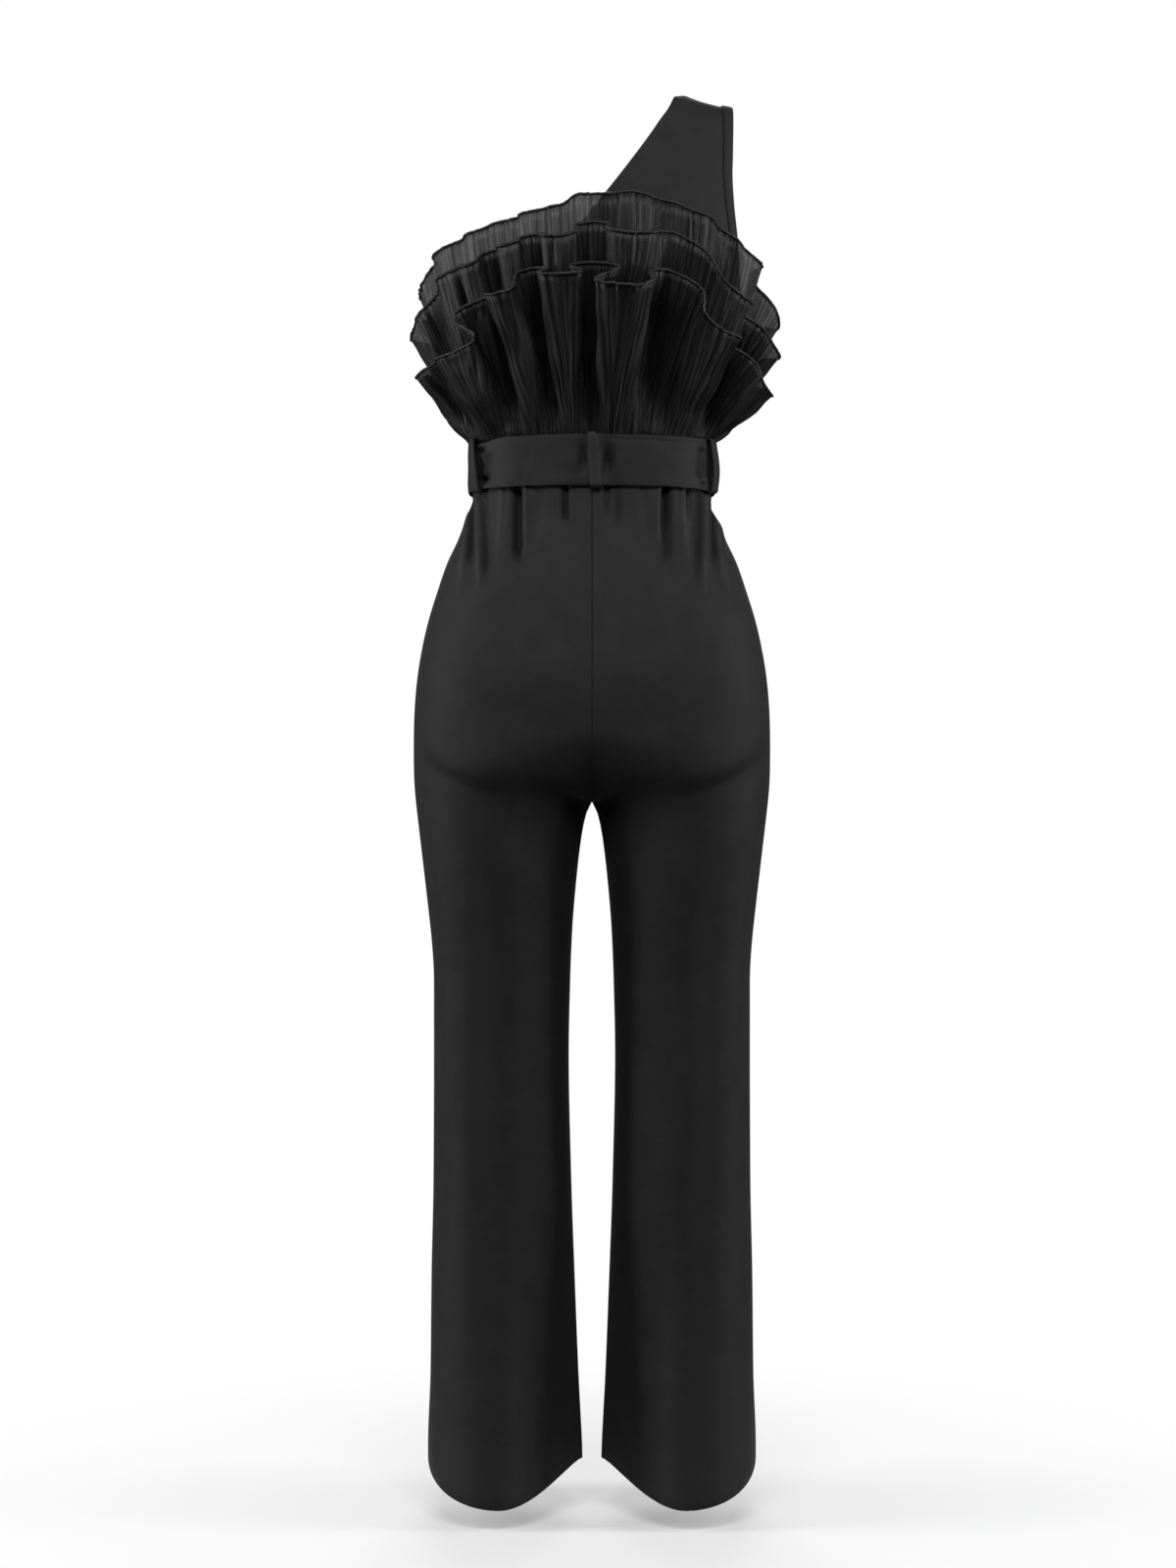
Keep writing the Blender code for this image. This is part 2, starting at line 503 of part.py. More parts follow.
def ruffle_point(tier, thread, share):
    """A point at a share of the way up a thread."""
    turn = between(thread.root_turn, thread.edge_turn, share**RUFFLE_SLIDE)
    angle = math.radians(thread.lean)
    base_height = BELT_CENTRE - belt_dip(turn) + BELT_HEIGHT / 2 + RUFFLE_BASE_LIFT
    height = base_height + thread.depth * math.cos(angle) * share
    half_width, back_depth, front_depth, _ = torso_ring(height)
    front_depth = torso_ring(min(height, RUFFLE_FORM_TOP))[2]
    ring = (half_width, back_depth, front_depth)
    reach = CLOTH / 2 + tier.stand_off + thread.depth * math.sin(angle) * share**RUFFLE_FLARE
    return ring_point(turn, *ring, height) + ring_normal(turn, *ring) * reach


def wave_side(start, end, curl, swell_power, rising):
    """The threads from start to end, each a (turn, lean, depth), one of them a crest and one a hollow."""
    threads = []
    span = (end[0] - start[0]) % 360
    for step in range(THREADS_PER_SIDE):
        share = step / THREADS_PER_SIDE
        to_crest = share if rising else 1 - share
        swell = (1 - math.cos(math.pi * to_crest**swell_power)) / 2
        hollow_lean, crest_lean = (start[1], end[1]) if rising else (end[1], start[1])
        slide = share + curl / math.tau * math.sin(math.tau * share)
        root_turn, edge_turn = start[0] + span * share, start[0] + span * slide
        depth = between(start[2], end[2], share)
        threads.append(Thread(root_turn, edge_turn, between(hollow_lean, crest_lean, swell), depth))
    return threads


def ruffle_threads(tier):
    """The threads round a tier: from each crest to its hollow, and on to the next crest."""
    threads = []
    waves = WAVES[tier.name]
    for wave, after in zip(waves, waves[1:] + waves[:1]):
        crest = (wave.crest, wave.lean, wave.depth)
        hollow = (wave.hollow, wave.hollow_lean, wave.hollow_depth)
        next_crest = (after.crest, after.lean, after.depth)
        threads += wave_side(crest, hollow, wave.curl_after, tier.breadth, rising=False)
        threads += wave_side(hollow, next_crest, after.curl_before, tier.breadth, rising=True)
    return threads


def ruffle_rows(tier):
    threads = ruffle_threads(tier)
    return [[ruffle_point(tier, thread, share) for thread in threads] for share in RUFFLE_ROWS]


# --- The garment ---
def clear_scene():
    for old in list(bpy.data.objects):
        bpy.data.objects.remove(old)


def make_root():
    """The parent of every piece, placed so that the strap's underside at the shoulder is the origin."""
    collection = bpy.data.collections.new("jumpsuit")
    bpy.context.scene.collection.children.link(collection)
    root = bpy.data.objects.new("jumpsuit", None)
    collection.objects.link(root)
    height = CHEST_TOP + SHOULDER_RISE - SHOULDER_SLOPE * (abs(STRAP_CENTRE_X) - NECK_EDGE_X) - CLOTH / 2
    root.location = (-STRAP_CENTRE_X, 0.0, -height)


def main():
    clear_scene()
    make_root()
    crepe = material("black_crepe", (0.020, 0.020, 0.021), 0.75, sheen=0.2)
    organza = material("black_organza", (0.012, 0.012, 0.013), 0.60, alpha=0.75)
    for face in ("back", "front"):
        cloth_wall(f"bodice_{face}", bodice_panel(face), CLOTH, crepe)
    cloth_wall("armhole_binding", armhole_binding(), BINDING_CLOTH, crepe, closed=True)
    for side_name, side in (("left", 1), ("right", -1)):
        for face_name, face in (("back", 1), ("front", -1)):
            cloth_wall(f"trouser_{face_name}_{side_name}", trouser_panel(side, face), CLOTH, crepe)
    for tier in TIERS:
        cloth_wall(tier.name, ruffle_rows(tier), ORGANZA, organza, closed=True)
    cloth_wall("belt", belt_rows(), BELT_CLOTH, crepe)
    for loop in LOOPS:
        cloth_wall(loop.name, loop_rows(loop), LOOP_CLOTH, crepe)


main()
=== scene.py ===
"""The looks of a black one-shoulder jumpsuit with three sheer ruffle tiers and a sash belt.

Heights are measured up from the floor that the wearer stands on, and turns go round the body in degrees:
0 at the centre back, 90 at the wearer's right side, 180 at the centre front and 270 at the left side.
The wearer faces -Y. The sizes and the large forms repeat those of the solids, with finer rows. The narrow
folds, the creases, the dents and the small waves of the ruffles are made here.
"""

import math
from collections import namedtuple

import bpy
import numpy as np
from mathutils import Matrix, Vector


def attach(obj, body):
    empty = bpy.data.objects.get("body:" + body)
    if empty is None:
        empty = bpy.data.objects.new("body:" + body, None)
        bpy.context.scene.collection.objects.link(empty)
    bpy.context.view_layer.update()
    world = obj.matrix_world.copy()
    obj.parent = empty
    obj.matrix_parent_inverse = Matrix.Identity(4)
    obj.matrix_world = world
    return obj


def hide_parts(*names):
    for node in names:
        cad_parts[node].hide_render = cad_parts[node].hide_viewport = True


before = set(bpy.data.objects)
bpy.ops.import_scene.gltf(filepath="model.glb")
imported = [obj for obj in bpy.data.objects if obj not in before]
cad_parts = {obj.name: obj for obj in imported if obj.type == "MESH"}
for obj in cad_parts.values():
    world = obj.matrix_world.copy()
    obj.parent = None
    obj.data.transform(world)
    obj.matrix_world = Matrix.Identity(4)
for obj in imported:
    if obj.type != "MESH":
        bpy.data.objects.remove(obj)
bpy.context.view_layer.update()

# --- Sizes of the form, in metres and degrees ---
CLOTH = 0.0015  # wall of the solids' trousers and bodice
BELT_CLOTH = 0.0024  # the belt is folded double
LOOP_CLOTH = 0.0016
SEAM_GAP = 0.0004  # between the edges of two panels
LAY_GAP = 0.0006  # under a piece that lies on a panel

WAIST = 1.066  # the seam between bodice and trousers, under the belt
CROTCH = 0.722
CROTCH_RISE = 0.070  # the height over which the crotch seam turns from upright to level
CROTCH_CLEARANCE = 0.0005  # less than between the solids, because the cloth is thinner

CHEST_TOP = 1.380  # above this the figure turns over the shoulder
SHOULDER_RISE = 0.063
SHOULDER_ARC = 0.105  # length of cloth from CHEST_TOP to the shoulder seam
SHOULDER_SLOPE = 0.27  # fall for each metre outwards
SHOULDER_SLOPE_FROM = 1.250  # it sets in above this height
NECK_EDGE_X = 0.086  # where the strap's neck edge meets the shoulder seam
STRAP_CENTRE_X = -0.114
BINDING_WIDTH = 0.010
NECK_ROUND_DROP = 0.0068  # the strap's corner at the neck is rounded off by this much
NECK_ROUND_REACH = 0.011
STRAP_DIP = 0.0022  # and the strap's top sags between its edges
STRAP_WIDTH = 0.056

BELT_HEIGHT = 0.051
BELT_CENTRE = 1.0625  # at the centre back
BELT_DIP = 0.007  # how much lower it lies at the centre front
BELT_HALF_WIDTH = 0.1253
BELT_BACK_DEPTH = 0.0846
BELT_FRONT_DEPTH = 0.0884
BELT_OVERLAP = 14.0  # turn from the centre front to each end
BELT_STEP_UP = 12.0  # turn over which the upper end climbs on to the lower one
BELT_STEP_CLEARANCE = 2.0  # and it is clear of the lower end this much before it
LOOP_WIDTH = 0.010
LOOP_CLEARANCE = 0.0004

RUFFLE_BASE_LIFT = 0.0032  # the gathered edge above the belt's top edge
RUFFLE_FLARE = 1.25  # above 1, a tier stands upright at its root and curves outwards above it
RUFFLE_SLIDE = 1.5  # above 1, the waves roll under mostly near their free edge
RUFFLE_FORM_TOP = 1.205  # over the bust: above it the front of a tier no longer follows the figure

HEM_OUTER = 0.062  # height of the hem at the side seam
HEM_INNER = 0.053  # and at the inseam
HEM_BACK_SLOPE = 0.36  # the hem falls towards the back
HEM_FRONT_SLOPE = 0.14  # and rises a little over the instep
HEM_SLOPE_FROM = 0.34  # rows below this height lean towards the hem's slope
LAST_ROW = 0.055  # height of the lowest row before it takes the hem's slope
LEG_JOIN_FROM = 0.6  # share of the way from side seam to inseam where a pinched leg's panels meet
ARMHOLE_FROM = 4  # the row of BODICE at the bottom of the armhole

# Brings the underside of the shoulder strap to the origin, as in the solids.
ROOT = np.array([
    -STRAP_CENTRE_X, 0.0,
    -(CHEST_TOP + SHOULDER_RISE - SHOULDER_SLOPE * (abs(STRAP_CENTRE_X) - NECK_EDGE_X) - CLOTH / 2),
])

# --- Sizes of the finish ---
KNIT = 0.0009  # thickness of the crepe
SHEER = 0.0004  # and of the ruffles
LOOP_WALL = 0.0021
LOOP_HIGHLIGHT = 1.3  # painted highlight: the loops' colour is scaled up from the belt's, as where they stand out and catch the light
BINDING_WALL = 0.0008
CORD_RADIUS = 0.0016  # the rolled hem of a ruffle
CORD_SIDES = 6
THREAD_RADIUS = 0.00022

# --- Tables: a row for each section or fold ---
TorsoRow = namedtuple("TorsoRow", "height half_width back_depth front_depth")
TORSO = (
    TorsoRow(1.030, 0.1230, 0.0810, 0.0845),
    TorsoRow(1.066, 0.1180, 0.0785, 0.0820),
    TorsoRow(1.110, 0.1240, 0.0815, 0.0890),
    TorsoRow(1.160, 0.1370, 0.0885, 0.1070),
    TorsoRow(1.205, 0.1490, 0.0945, 0.1190),
    TorsoRow(1.250, 0.1590, 0.0985, 0.1150),
    TorsoRow(1.300, 0.1660, 0.0980, 0.1000),
    TorsoRow(1.380, 0.1700, 0.0850, 0.0780),
)

# Both bodice panels: the end towards the bare shoulder, and the end towards the armhole, as turns
# from the panel's own centre line. up is the height, and above CHEST_TOP it goes on along the cloth.
BodiceRow = namedtuple(
    "BodiceRow",
    "row back_left_turn back_left_up front_left_turn front_left_up"
    " back_right_turn front_right_turn right_up",
)
BODICE = (
    BodiceRow(0, -90.0, 1.066, -90.0, 1.066, 90.0, 90.0, 1.066),
    BodiceRow(1, -90.0, 1.100, -90.0, 1.100, 90.0, 90.0, 1.102),
    BodiceRow(2, -90.0, 1.135, -90.0, 1.135, 90.0, 90.0, 1.140),
    BodiceRow(3, -90.0, 1.170, -90.0, 1.170, 90.0, 90.0, 1.180),
    BodiceRow(4, -90.0, 1.205, -90.0, 1.205, 90.0, 90.0, 1.213),
    BodiceRow(5, -66.0, 1.212, -52.0, 1.213, 80.0, 79.0, 1.219),
    BodiceRow(6, -46.0, 1.222, -24.0, 1.227, 73.5, 71.0, 1.231),
    BodiceRow(7, -19.0, 1.252, 2.0, 1.255, 66.0, 62.0, 1.262),
    BodiceRow(8, -4.0, 1.290, 18.0, 1.296, 60.5, 55.0, 1.300),
    BodiceRow(9, 6.5, 1.322, 26.0, 1.338, 57.0, 51.0, 1.338),
    BodiceRow(10, 16.0, 1.360, 29.5, 1.372, 55.5, 50.0, 1.374),
    BodiceRow(11, 23.0, 1.395, 31.0, 1.395, 55.8, 51.5, 1.401),
    BodiceRow(12, 27.3, 1.421, 31.3, 1.421, 56.2, 53.5, 1.429),
    BodiceRow(13, 29.8, 1.452, 31.2, 1.452, 56.5, 55.5, 1.457),
    BodiceRow(14, 31.3, 1.485, 31.3, 1.485, 56.6, 56.6, 1.485),
)

# outer and inner are the side seam's and the inseam's distances from the centre plane. Above the
# crotch there is no inseam. flatness above 1 flattens the back and the front of the seat's section,
# and crease above 1 draws the leg's section in to a crease at the inseam.
TrouserRow = namedtuple("TrouserRow", "height outer inner back_depth front_depth flatness crease")
TROUSERS = (
    TrouserRow(0.030, 0.1665, 0.0090, 0.1010, 0.0990, 1.00, 2.2),
    TrouserRow(0.065, 0.1665, 0.0100, 0.0990, 0.0980, 1.00, 2.2),
    TrouserRow(0.140, 0.1640, 0.0140, 0.0930, 0.0930, 1.00, 1.8),
    TrouserRow(0.240, 0.1630, 0.0180, 0.0870, 0.0870, 1.00, 1.3),
    TrouserRow(0.340, 0.1610, 0.0215, 0.0848, 0.0830, 1.00, 1.0),
    TrouserRow(0.465, 0.1605, 0.0240, 0.0852, 0.0830, 1.00, 1.0),
    TrouserRow(0.540, 0.1605, 0.0225, 0.0882, 0.0860, 1.00, 1.0),
    TrouserRow(0.590, 0.1635, 0.0205, 0.0925, 0.0890, 1.00, 1.0),
    TrouserRow(0.640, 0.1695, 0.0165, 0.0985, 0.0925, 1.00, 1.0),
    TrouserRow(0.690, 0.1745, 0.0105, 0.1078, 0.0950, 1.00, 1.0),
    TrouserRow(0.712, 0.1780, 0.0055, 0.1120, 0.0965, 1.05, 1.0),
    TrouserRow(0.722, 0.1795, CROTCH_CLEARANCE, 0.1142, 0.0970, 1.10, 1.0),
    TrouserRow(0.750, 0.1808, CROTCH_CLEARANCE, 0.1195, 0.0990, 1.20, 1.0),
    TrouserRow(0.790, 0.1810, CROTCH_CLEARANCE, 0.1232, 0.1010, 1.25, 1.0),
    TrouserRow(0.840, 0.1785, CROTCH_CLEARANCE, 0.1215, 0.1020, 1.25, 1.0),
    TrouserRow(0.890, 0.1700, CROTCH_CLEARANCE, 0.1125, 0.1000, 1.20, 1.0),
    TrouserRow(0.940, 0.1555, CROTCH_CLEARANCE, 0.1015, 0.0960, 1.12, 1.0),
    TrouserRow(0.965, 0.1470, CROTCH_CLEARANCE, 0.0955, 0.0930, 1.07, 1.0),
    TrouserRow(0.990, 0.1355, CROTCH_CLEARANCE, 0.0895, 0.0900, 1.02, 1.0),
    TrouserRow(1.015, 0.1268, CROTCH_CLEARANCE, 0.0840, 0.0870, 1.00, 1.0),
    TrouserRow(1.040, 0.1200, CROTCH_CLEARANCE, 0.0800, 0.0835, 1.00, 1.0),
    TrouserRow(1.066, 0.1165, CROTCH_CLEARANCE, 0.0772, 0.0806, 1.00, 1.0),
)

# The soft pleats that fall from the belt, as turns round the waist.
Pleat = namedtuple("Pleat", "turn depth width length")
PLEATS = (
    Pleat(-58.0, 0.0080, 5.0, 0.19),
    Pleat(-36.0, 0.0095, 5.0, 0.17),
    Pleat(-12.0, 0.0040, 5.0, 0.10),
    Pleat(9.0, 0.0030, 5.0, 0.08),
    Pleat(35.0, 0.0085, 4.5, 0.15),
    Pleat(47.0, 0.0060, 4.5, 0.13),
    Pleat(63.0, 0.0090, 5.0, 0.19),
    Pleat(112.0, 0.0070, 5.0, 0.16),
    Pleat(134.0, 0.0085, 5.0, 0.15),
    Pleat(155.0, 0.0055, 5.0, 0.12),
    Pleat(207.0, 0.0055, 5.0, 0.13),
    Pleat(228.0, 0.0085, 5.0, 0.16),
    Pleat(250.0, 0.0070, 5.0, 0.15),
)
PLEAT_AT_BELT, PLEAT_BELOW = 0.12, 0.45  # shares of the solids' depth, because folds take up the rest
PLEAT_GROWS_OVER = 0.060

# Narrower folds below the belt, on the back (face 1) and the front (face -1). A ridge has a negative
# depth. across is how far to the wearer's left of the centre plane it starts and ends, and start and
# end are distances below the belt.
Fold = namedtuple("Fold", "face across_start across_end depth width start end")
FOLDS = (
    Fold(1, 0.0750, 0.0735, 0.0084, 0.0046, -0.008, 0.088),
    Fold(1, 0.0665, 0.0680, -0.0025, 0.0019, -0.020, 0.082),
    Fold(1, 0.0905, 0.0945, -0.0023, 0.0024, -0.010, 0.070),
    Fold(1, 0.1107, 0.1040, 0.0042, 0.0040, 0.000, 0.108),
    Fold(1, 0.1179, 0.1124, -0.0035, 0.0018, -0.010, 0.114),
    Fold(1, 0.1222, 0.1228, 0.0058, 0.0034, 0.006, 0.090),
    Fold(1, 0.1238, 0.1348, -0.0022, 0.0022, 0.008, 0.116),
    Fold(1, 0.0260, 0.0262, 0.0045, 0.0034, -0.005, 0.046),
    Fold(1, -0.0155, -0.0130, 0.0032, 0.0030, -0.020, 0.044),
    Fold(1, -0.0744, -0.0715, 0.0074, 0.0036, -0.008, 0.064),
    Fold(1, -0.0690, -0.0655, -0.0026, 0.0018, -0.010, 0.056),
    Fold(1, -0.0910, -0.0915, -0.0032, 0.0018, -0.020, 0.078),
    Fold(1, -0.0965, -0.0970, 0.0035, 0.0024, 0.000, 0.038),
    Fold(1, -0.1026, -0.1015, -0.0023, 0.0020, 0.004, 0.054),
    Fold(1, -0.1079, -0.1020, 0.0048, 0.0034, -0.006, 0.108),
    Fold(1, -0.1171, -0.1185, -0.0038, 0.0017, -0.006, 0.116),
    Fold(1, -0.1220, -0.1278, 0.0056, 0.0036, 0.000, 0.114),
    Fold(1, -0.1290, -0.1375, -0.0018, 0.0022, 0.024, 0.122),
    Fold(-1, 0.1190, 0.1260, 0.0054, 0.0034, 0.002, 0.104),
    Fold(-1, 0.1120, 0.1130, -0.0032, 0.0019, -0.010, 0.108),
    Fold(-1, 0.0930, 0.0960, 0.0061, 0.0040, -0.008, 0.074),
    Fold(-1, 0.0850, 0.0865, -0.0026, 0.0020, -0.020, 0.080),
    Fold(-1, 0.0610, 0.0590, 0.0048, 0.0036, -0.006, 0.052),
    Fold(-1, 0.0330, 0.0320, -0.0020, 0.0020, -0.010, 0.046),
    Fold(-1, -0.0280, -0.0270, 0.0035, 0.0032, -0.020, 0.042),
    Fold(-1, -0.0560, -0.0540, -0.0023, 0.0020, -0.020, 0.060),
    Fold(-1, -0.0690, -0.0680, 0.0067, 0.0042, -0.008, 0.082),
    Fold(-1, -0.0905, -0.0930, -0.0029, 0.0020, -0.010, 0.072),
    Fold(-1, -0.1040, -0.1065, 0.0048, 0.0036, -0.004, 0.096),
    Fold(-1, -0.1140, -0.1180, -0.0035, 0.0019, -0.006, 0.112),
    Fold(-1, -0.1230, -0.1300, 0.0058, 0.0034, 0.006, 0.110),
)

# How far a tier stands off the bodice above the belt and behind it, and how broad its waves are: below 1
# the waves are broad and the hollows narrow. Half way up, the cloth sinks into the hollows and swells at
# the crests. seed is the first of the tier's random seeds.
Tier = namedtuple("Tier", "name stand_off root_stand_off breadth sink swell seed")
TIERS = (
    Tier("ruffle_inner", 0.0018, 0.0010, 0.90, 0.0008, 0.0010, 100),
    Tier("ruffle_middle", 0.0036, 0.0017, 0.80, 0.0026, 0.0016, 200),
    Tier("ruffle_outer", 0.0054, 0.0024, 0.75, 0.0044, 0.0046, 300),
)

# The waves round each tier, each a crest and the hollow after it, by turns. lean is how far the cloth
# leans out from the bodice, depth is its length from the gathered edge, and a curl above 1 rolls that
# side of the crest under.
Wave = namedtuple("Wave", "crest lean depth curl_before curl_after hollow hollow_lean hollow_depth")
WAVES = {
    "ruffle_outer": (
        Wave(-84.0, 30.0, 0.074, 1.2, 0.8, -72.0, 24.0, 0.076),
        Wave(-50.5, 31.0, 0.088, 0.6, 3.5, -36.5, 14.0, 0.131),
        Wave(-25.5, 32.0, 0.147, 1.3, 1.7, -18.5, 12.0, 0.157),
        Wave(-9.5, 30.0, 0.162, 2.0, 2.2, 0.0, 15.0, 0.162),
        Wave(8.5, 38.0, 0.162, 3.8, 1.2, 24.0, 12.0, 0.156),
        Wave(46.0, 31.0, 0.107, 1.2, 1.8, 57.0, 17.0, 0.088),
        Wave(75.0, 51.0, 0.068, 1.0, 1.2, 88.0, 24.0, 0.058),
        Wave(101.0, 34.0, 0.056, 0.9, 1.0, 114.0, 17.0, 0.070),
        Wave(120.0, 30.0, 0.090, 1.5, 1.3, 133.0, 13.0, 0.118),
        Wave(146.0, 30.0, 0.146, 1.4, 1.8, 156.0, 14.0, 0.156),
        Wave(168.0, 34.0, 0.160, 2.2, 1.5, 182.0, 11.0, 0.163),
        Wave(196.0, 31.0, 0.160, 1.4, 2.0, 207.0, 13.0, 0.152),
        Wave(219.0, 32.0, 0.130, 1.7, 1.3, 233.0, 14.0, 0.104),
        Wave(246.0, 29.0, 0.082, 1.4, 1.5, 262.0, 15.0, 0.070),
    ),
    "ruffle_middle": (
        Wave(-84.0, 18.0, 0.109, 1.4, 1.7, -69.0, 6.0, 0.138),
        Wave(-53.0, 8.0, 0.160, 1.0, 0.8, -46.0, 6.0, 0.164),
        Wave(-41.0, 13.5, 0.164, 1.3, 1.2, -33.0, 6.0, 0.177),
        Wave(-27.0, 12.0, 0.181, 0.8, 0.9, -19.5, 6.0, 0.190),
        Wave(-9.5, 18.0, 0.190, 1.3, 1.5, 0.0, 4.5, 0.202),
        Wave(10.0, 19.0, 0.194, 1.7, 1.3, 27.0, 4.5, 0.194),
        Wave(51.0, 20.0, 0.138, 0.8, 1.5, 62.0, 10.0, 0.120),
        Wave(80.0, 30.0, 0.096, 1.2, 1.3, 92.0, 16.0, 0.084),
        Wave(102.0, 20.0, 0.082, 0.8, 1.1, 113.0, 8.0, 0.098),
        Wave(120.0, 20.0, 0.122, 1.4, 1.2, 133.0, 7.0, 0.152),
        Wave(146.0, 19.0, 0.178, 1.1, 1.3, 156.0, 6.0, 0.191),
        Wave(169.0, 19.0, 0.194, 1.4, 1.1, 182.0, 6.0, 0.200),
        Wave(196.0, 20.0, 0.188, 1.1, 1.3, 207.0, 6.5, 0.178),
        Wave(220.0, 20.0, 0.154, 1.5, 1.2, 233.0, 8.0, 0.130),
        Wave(247.0, 17.0, 0.108, 1.3, 1.3, 260.0, 9.0, 0.100),
    ),
    "ruffle_inner": (
        Wave(-83.0, 6.5, 0.151, 0.9, 1.0, -71.0, 3.0, 0.168),
        Wave(-58.0, 4.5, 0.185, 1.0, 0.7, -50.0, 3.0, 0.190),
        Wave(-42.0, 5.5, 0.196, 0.5, 0.5, -29.0, 3.5, 0.206),
        Wave(-19.0, 6.0, 0.213, 0.8, 0.6, -10.0, 3.0, 0.220),
        Wave(-4.0, 4.0, 0.230, 0.5, 0.7, 4.0, 2.5, 0.231),
        Wave(13.0, 4.5, 0.233, 0.6, 0.5, 24.0, 3.0, 0.226),
        Wave(37.0, 5.5, 0.214, 0.5, 0.5, 49.0, 4.0, 0.198),
        Wave(62.0, 9.0, 0.175, 0.9, 1.8, 72.0, 3.5, 0.158),
        Wave(84.0, 19.5, 0.120, 1.0, 1.6, 96.0, 5.0, 0.116),
        Wave(108.0, 7.5, 0.132, 1.2, 1.1, 120.0, 4.0, 0.152),
        Wave(133.0, 5.5, 0.178, 0.9, 0.8, 146.0, 3.5, 0.198),
        Wave(159.0, 4.5, 0.214, 0.6, 0.6, 172.0, 2.5, 0.224),
        Wave(185.0, 4.0, 0.227, 0.6, 0.6, 198.0, 3.0, 0.220),
        Wave(210.0, 4.5, 0.206, 0.6, 0.8, 223.0, 3.5, 0.188),
        Wave(236.0, 6.5, 0.164, 1.0, 1.1, 248.0, 4.0, 0.144),
        Wave(259.0, 9.0, 0.128, 1.1, 1.1, 265.0, 6.0, 0.127),
    ),
}

# A belt loop's turn at the centre of the belt, how far its lower end leans to the wearer's right, how
# much wider it is than LOOP_WIDTH at its upper and lower ends, and how far its middle stands out.
Loop = namedtuple("Loop", "name turn lean top_width bottom_width bulge")
LOOPS = (
    Loop("belt_loop_back", -0.2, 0.0050, 0.86, 1.06, 0.0006),
    Loop("belt_loop_left", -70.6, 0.0085, 1.10, 1.40, 0.0016),
    Loop("belt_loop_right", 70.8, 0.0050, 1.20, 1.30, 0.0030),
)

# The soft fold under the seat: its height and depth from the side seam (share 0) to the centre seam
# (share 1), and how far it reaches above and below.
SeatFold = namedtuple("SeatFold", "share height depth above below")
SEAT_FOLD = (
    SeatFold(0.00, 0.780, 0.0000, 0.016, 0.030),
    SeatFold(0.16, 0.768, 0.0004, 0.022, 0.034),
    SeatFold(0.28, 0.752, 0.0036, 0.020, 0.040),
    SeatFold(0.40, 0.740, 0.0074, 0.018, 0.046),
    SeatFold(0.53, 0.730, 0.0098, 0.017, 0.052),
    SeatFold(0.66, 0.724, 0.0108, 0.019, 0.056),
    SeatFold(0.78, 0.723, 0.0112, 0.022, 0.058),
    SeatFold(0.88, 0.730, 0.0112, 0.025, 0.060),
    SeatFold(1.00, 0.744, 0.0108, 0.026, 0.060),
)

# Soft troughs and ridges of the legs, from one place to another as shares across a leg's own panel (0 at
# the side seam, 1 at the inseam) and heights. A ridge has a negative depth.
Crease = namedtuple("Crease", "side face from_share from_height to_share to_height depth width")
CREASES = (
    Crease(1, 1, 0.42, 0.660, 0.46, 0.180, 0.0026, 0.022),
    Crease(1, 1, 0.22, 0.690, 0.24, 0.430, -0.0022, 0.018),
    Crease(1, 1, 0.74, 0.640, 0.80, 0.330, -0.0014, 0.014),
    Crease(1, 1, 0.62, 0.260, 0.66, 0.070, 0.0026, 0.020),
    Crease(-1, 1, 0.40, 0.665, 0.45, 0.200, 0.0028, 0.022),
    Crease(-1, 1, 0.20, 0.680, 0.23, 0.450, -0.0022, 0.018),
    Crease(-1, 1, 0.76, 0.560, 0.78, 0.360, -0.0012, 0.014),
    Crease(-1, 1, 0.60, 0.280, 0.68, 0.080, 0.0024, 0.020),
    Crease(1, -1, 0.48, 0.690, 0.45, 0.160, 0.0030, 0.022),
    Crease(1, -1, 0.30, 0.560, 0.27, 0.220, -0.0020, 0.020),
    Crease(1, -1, 0.95, 0.770, 0.55, 0.800, 0.0026, 0.012),
    Crease(-1, -1, 0.50, 0.680, 0.44, 0.180, 0.0030, 0.022),
    Crease(-1, -1, 0.28, 0.600, 0.30, 0.240, -0.0020, 0.020),
    Crease(-1, -1, 0.95, 0.762, 0.58, 0.796, 0.0024, 0.012),
)

# Dents of the belt beside its loops and where it turns at the sides: a turn, a place across it from -1 at
# the bottom to 1 at the top, a depth and how wide it is in degrees and in shares of the height.
Dent = namedtuple("Dent", "turn across depth wide high")
DENTS = (
    Dent(-62.5, 0.66, 0.0044, 3.4, 0.13),
    Dent(-59.8, 0.14, 0.0064, 5.6, 0.22),
    Dent(-60.8, -0.58, 0.0064, 5.4, 0.20),
    Dent(-54.0, 0.36, 0.0008, 5.0, 0.10),
    Dent(-53.0, -0.26, 0.0009, 5.0, 0.12),
    Dent(-3.9, 0.12, 0.0044, 2.2, 0.54),
    Dent(6.8, 0.00, 0.0052, 2.8, 0.60),
    Dent(62.5, 0.48, 0.0044, 3.4, 0.16),
    Dent(63.2, 0.06, 0.0036, 3.0, 0.14),
    Dent(61.5, -0.36, 0.0052, 4.4, 0.18),
    Dent(63.5, -0.76, 0.0032, 2.6, 0.10),
    Dent(57.5, -0.10, 0.0008, 4.0, 0.12),
    Dent(34.0, 0.80, 0.0008, 22.0, 0.06),
    Dent(-30.0, 0.30, 0.0006, 12.0, 0.50),
    Dent(33.0, -0.40, 0.0006, 14.0, 0.45),
    Dent(118.0, 0.20, 0.0010, 5.0, 0.60),
    Dent(140.0, -0.30, 0.0008, 6.0, 0.40),
    Dent(-118.0, -0.10, 0.0010, 5.0, 0.60),
    Dent(-142.0, 0.35, 0.0008, 6.0, 0.40),
)


# --- Small helpers ---
def column(table, name):
    return np.array([getattr(row, name) for row in table], float)


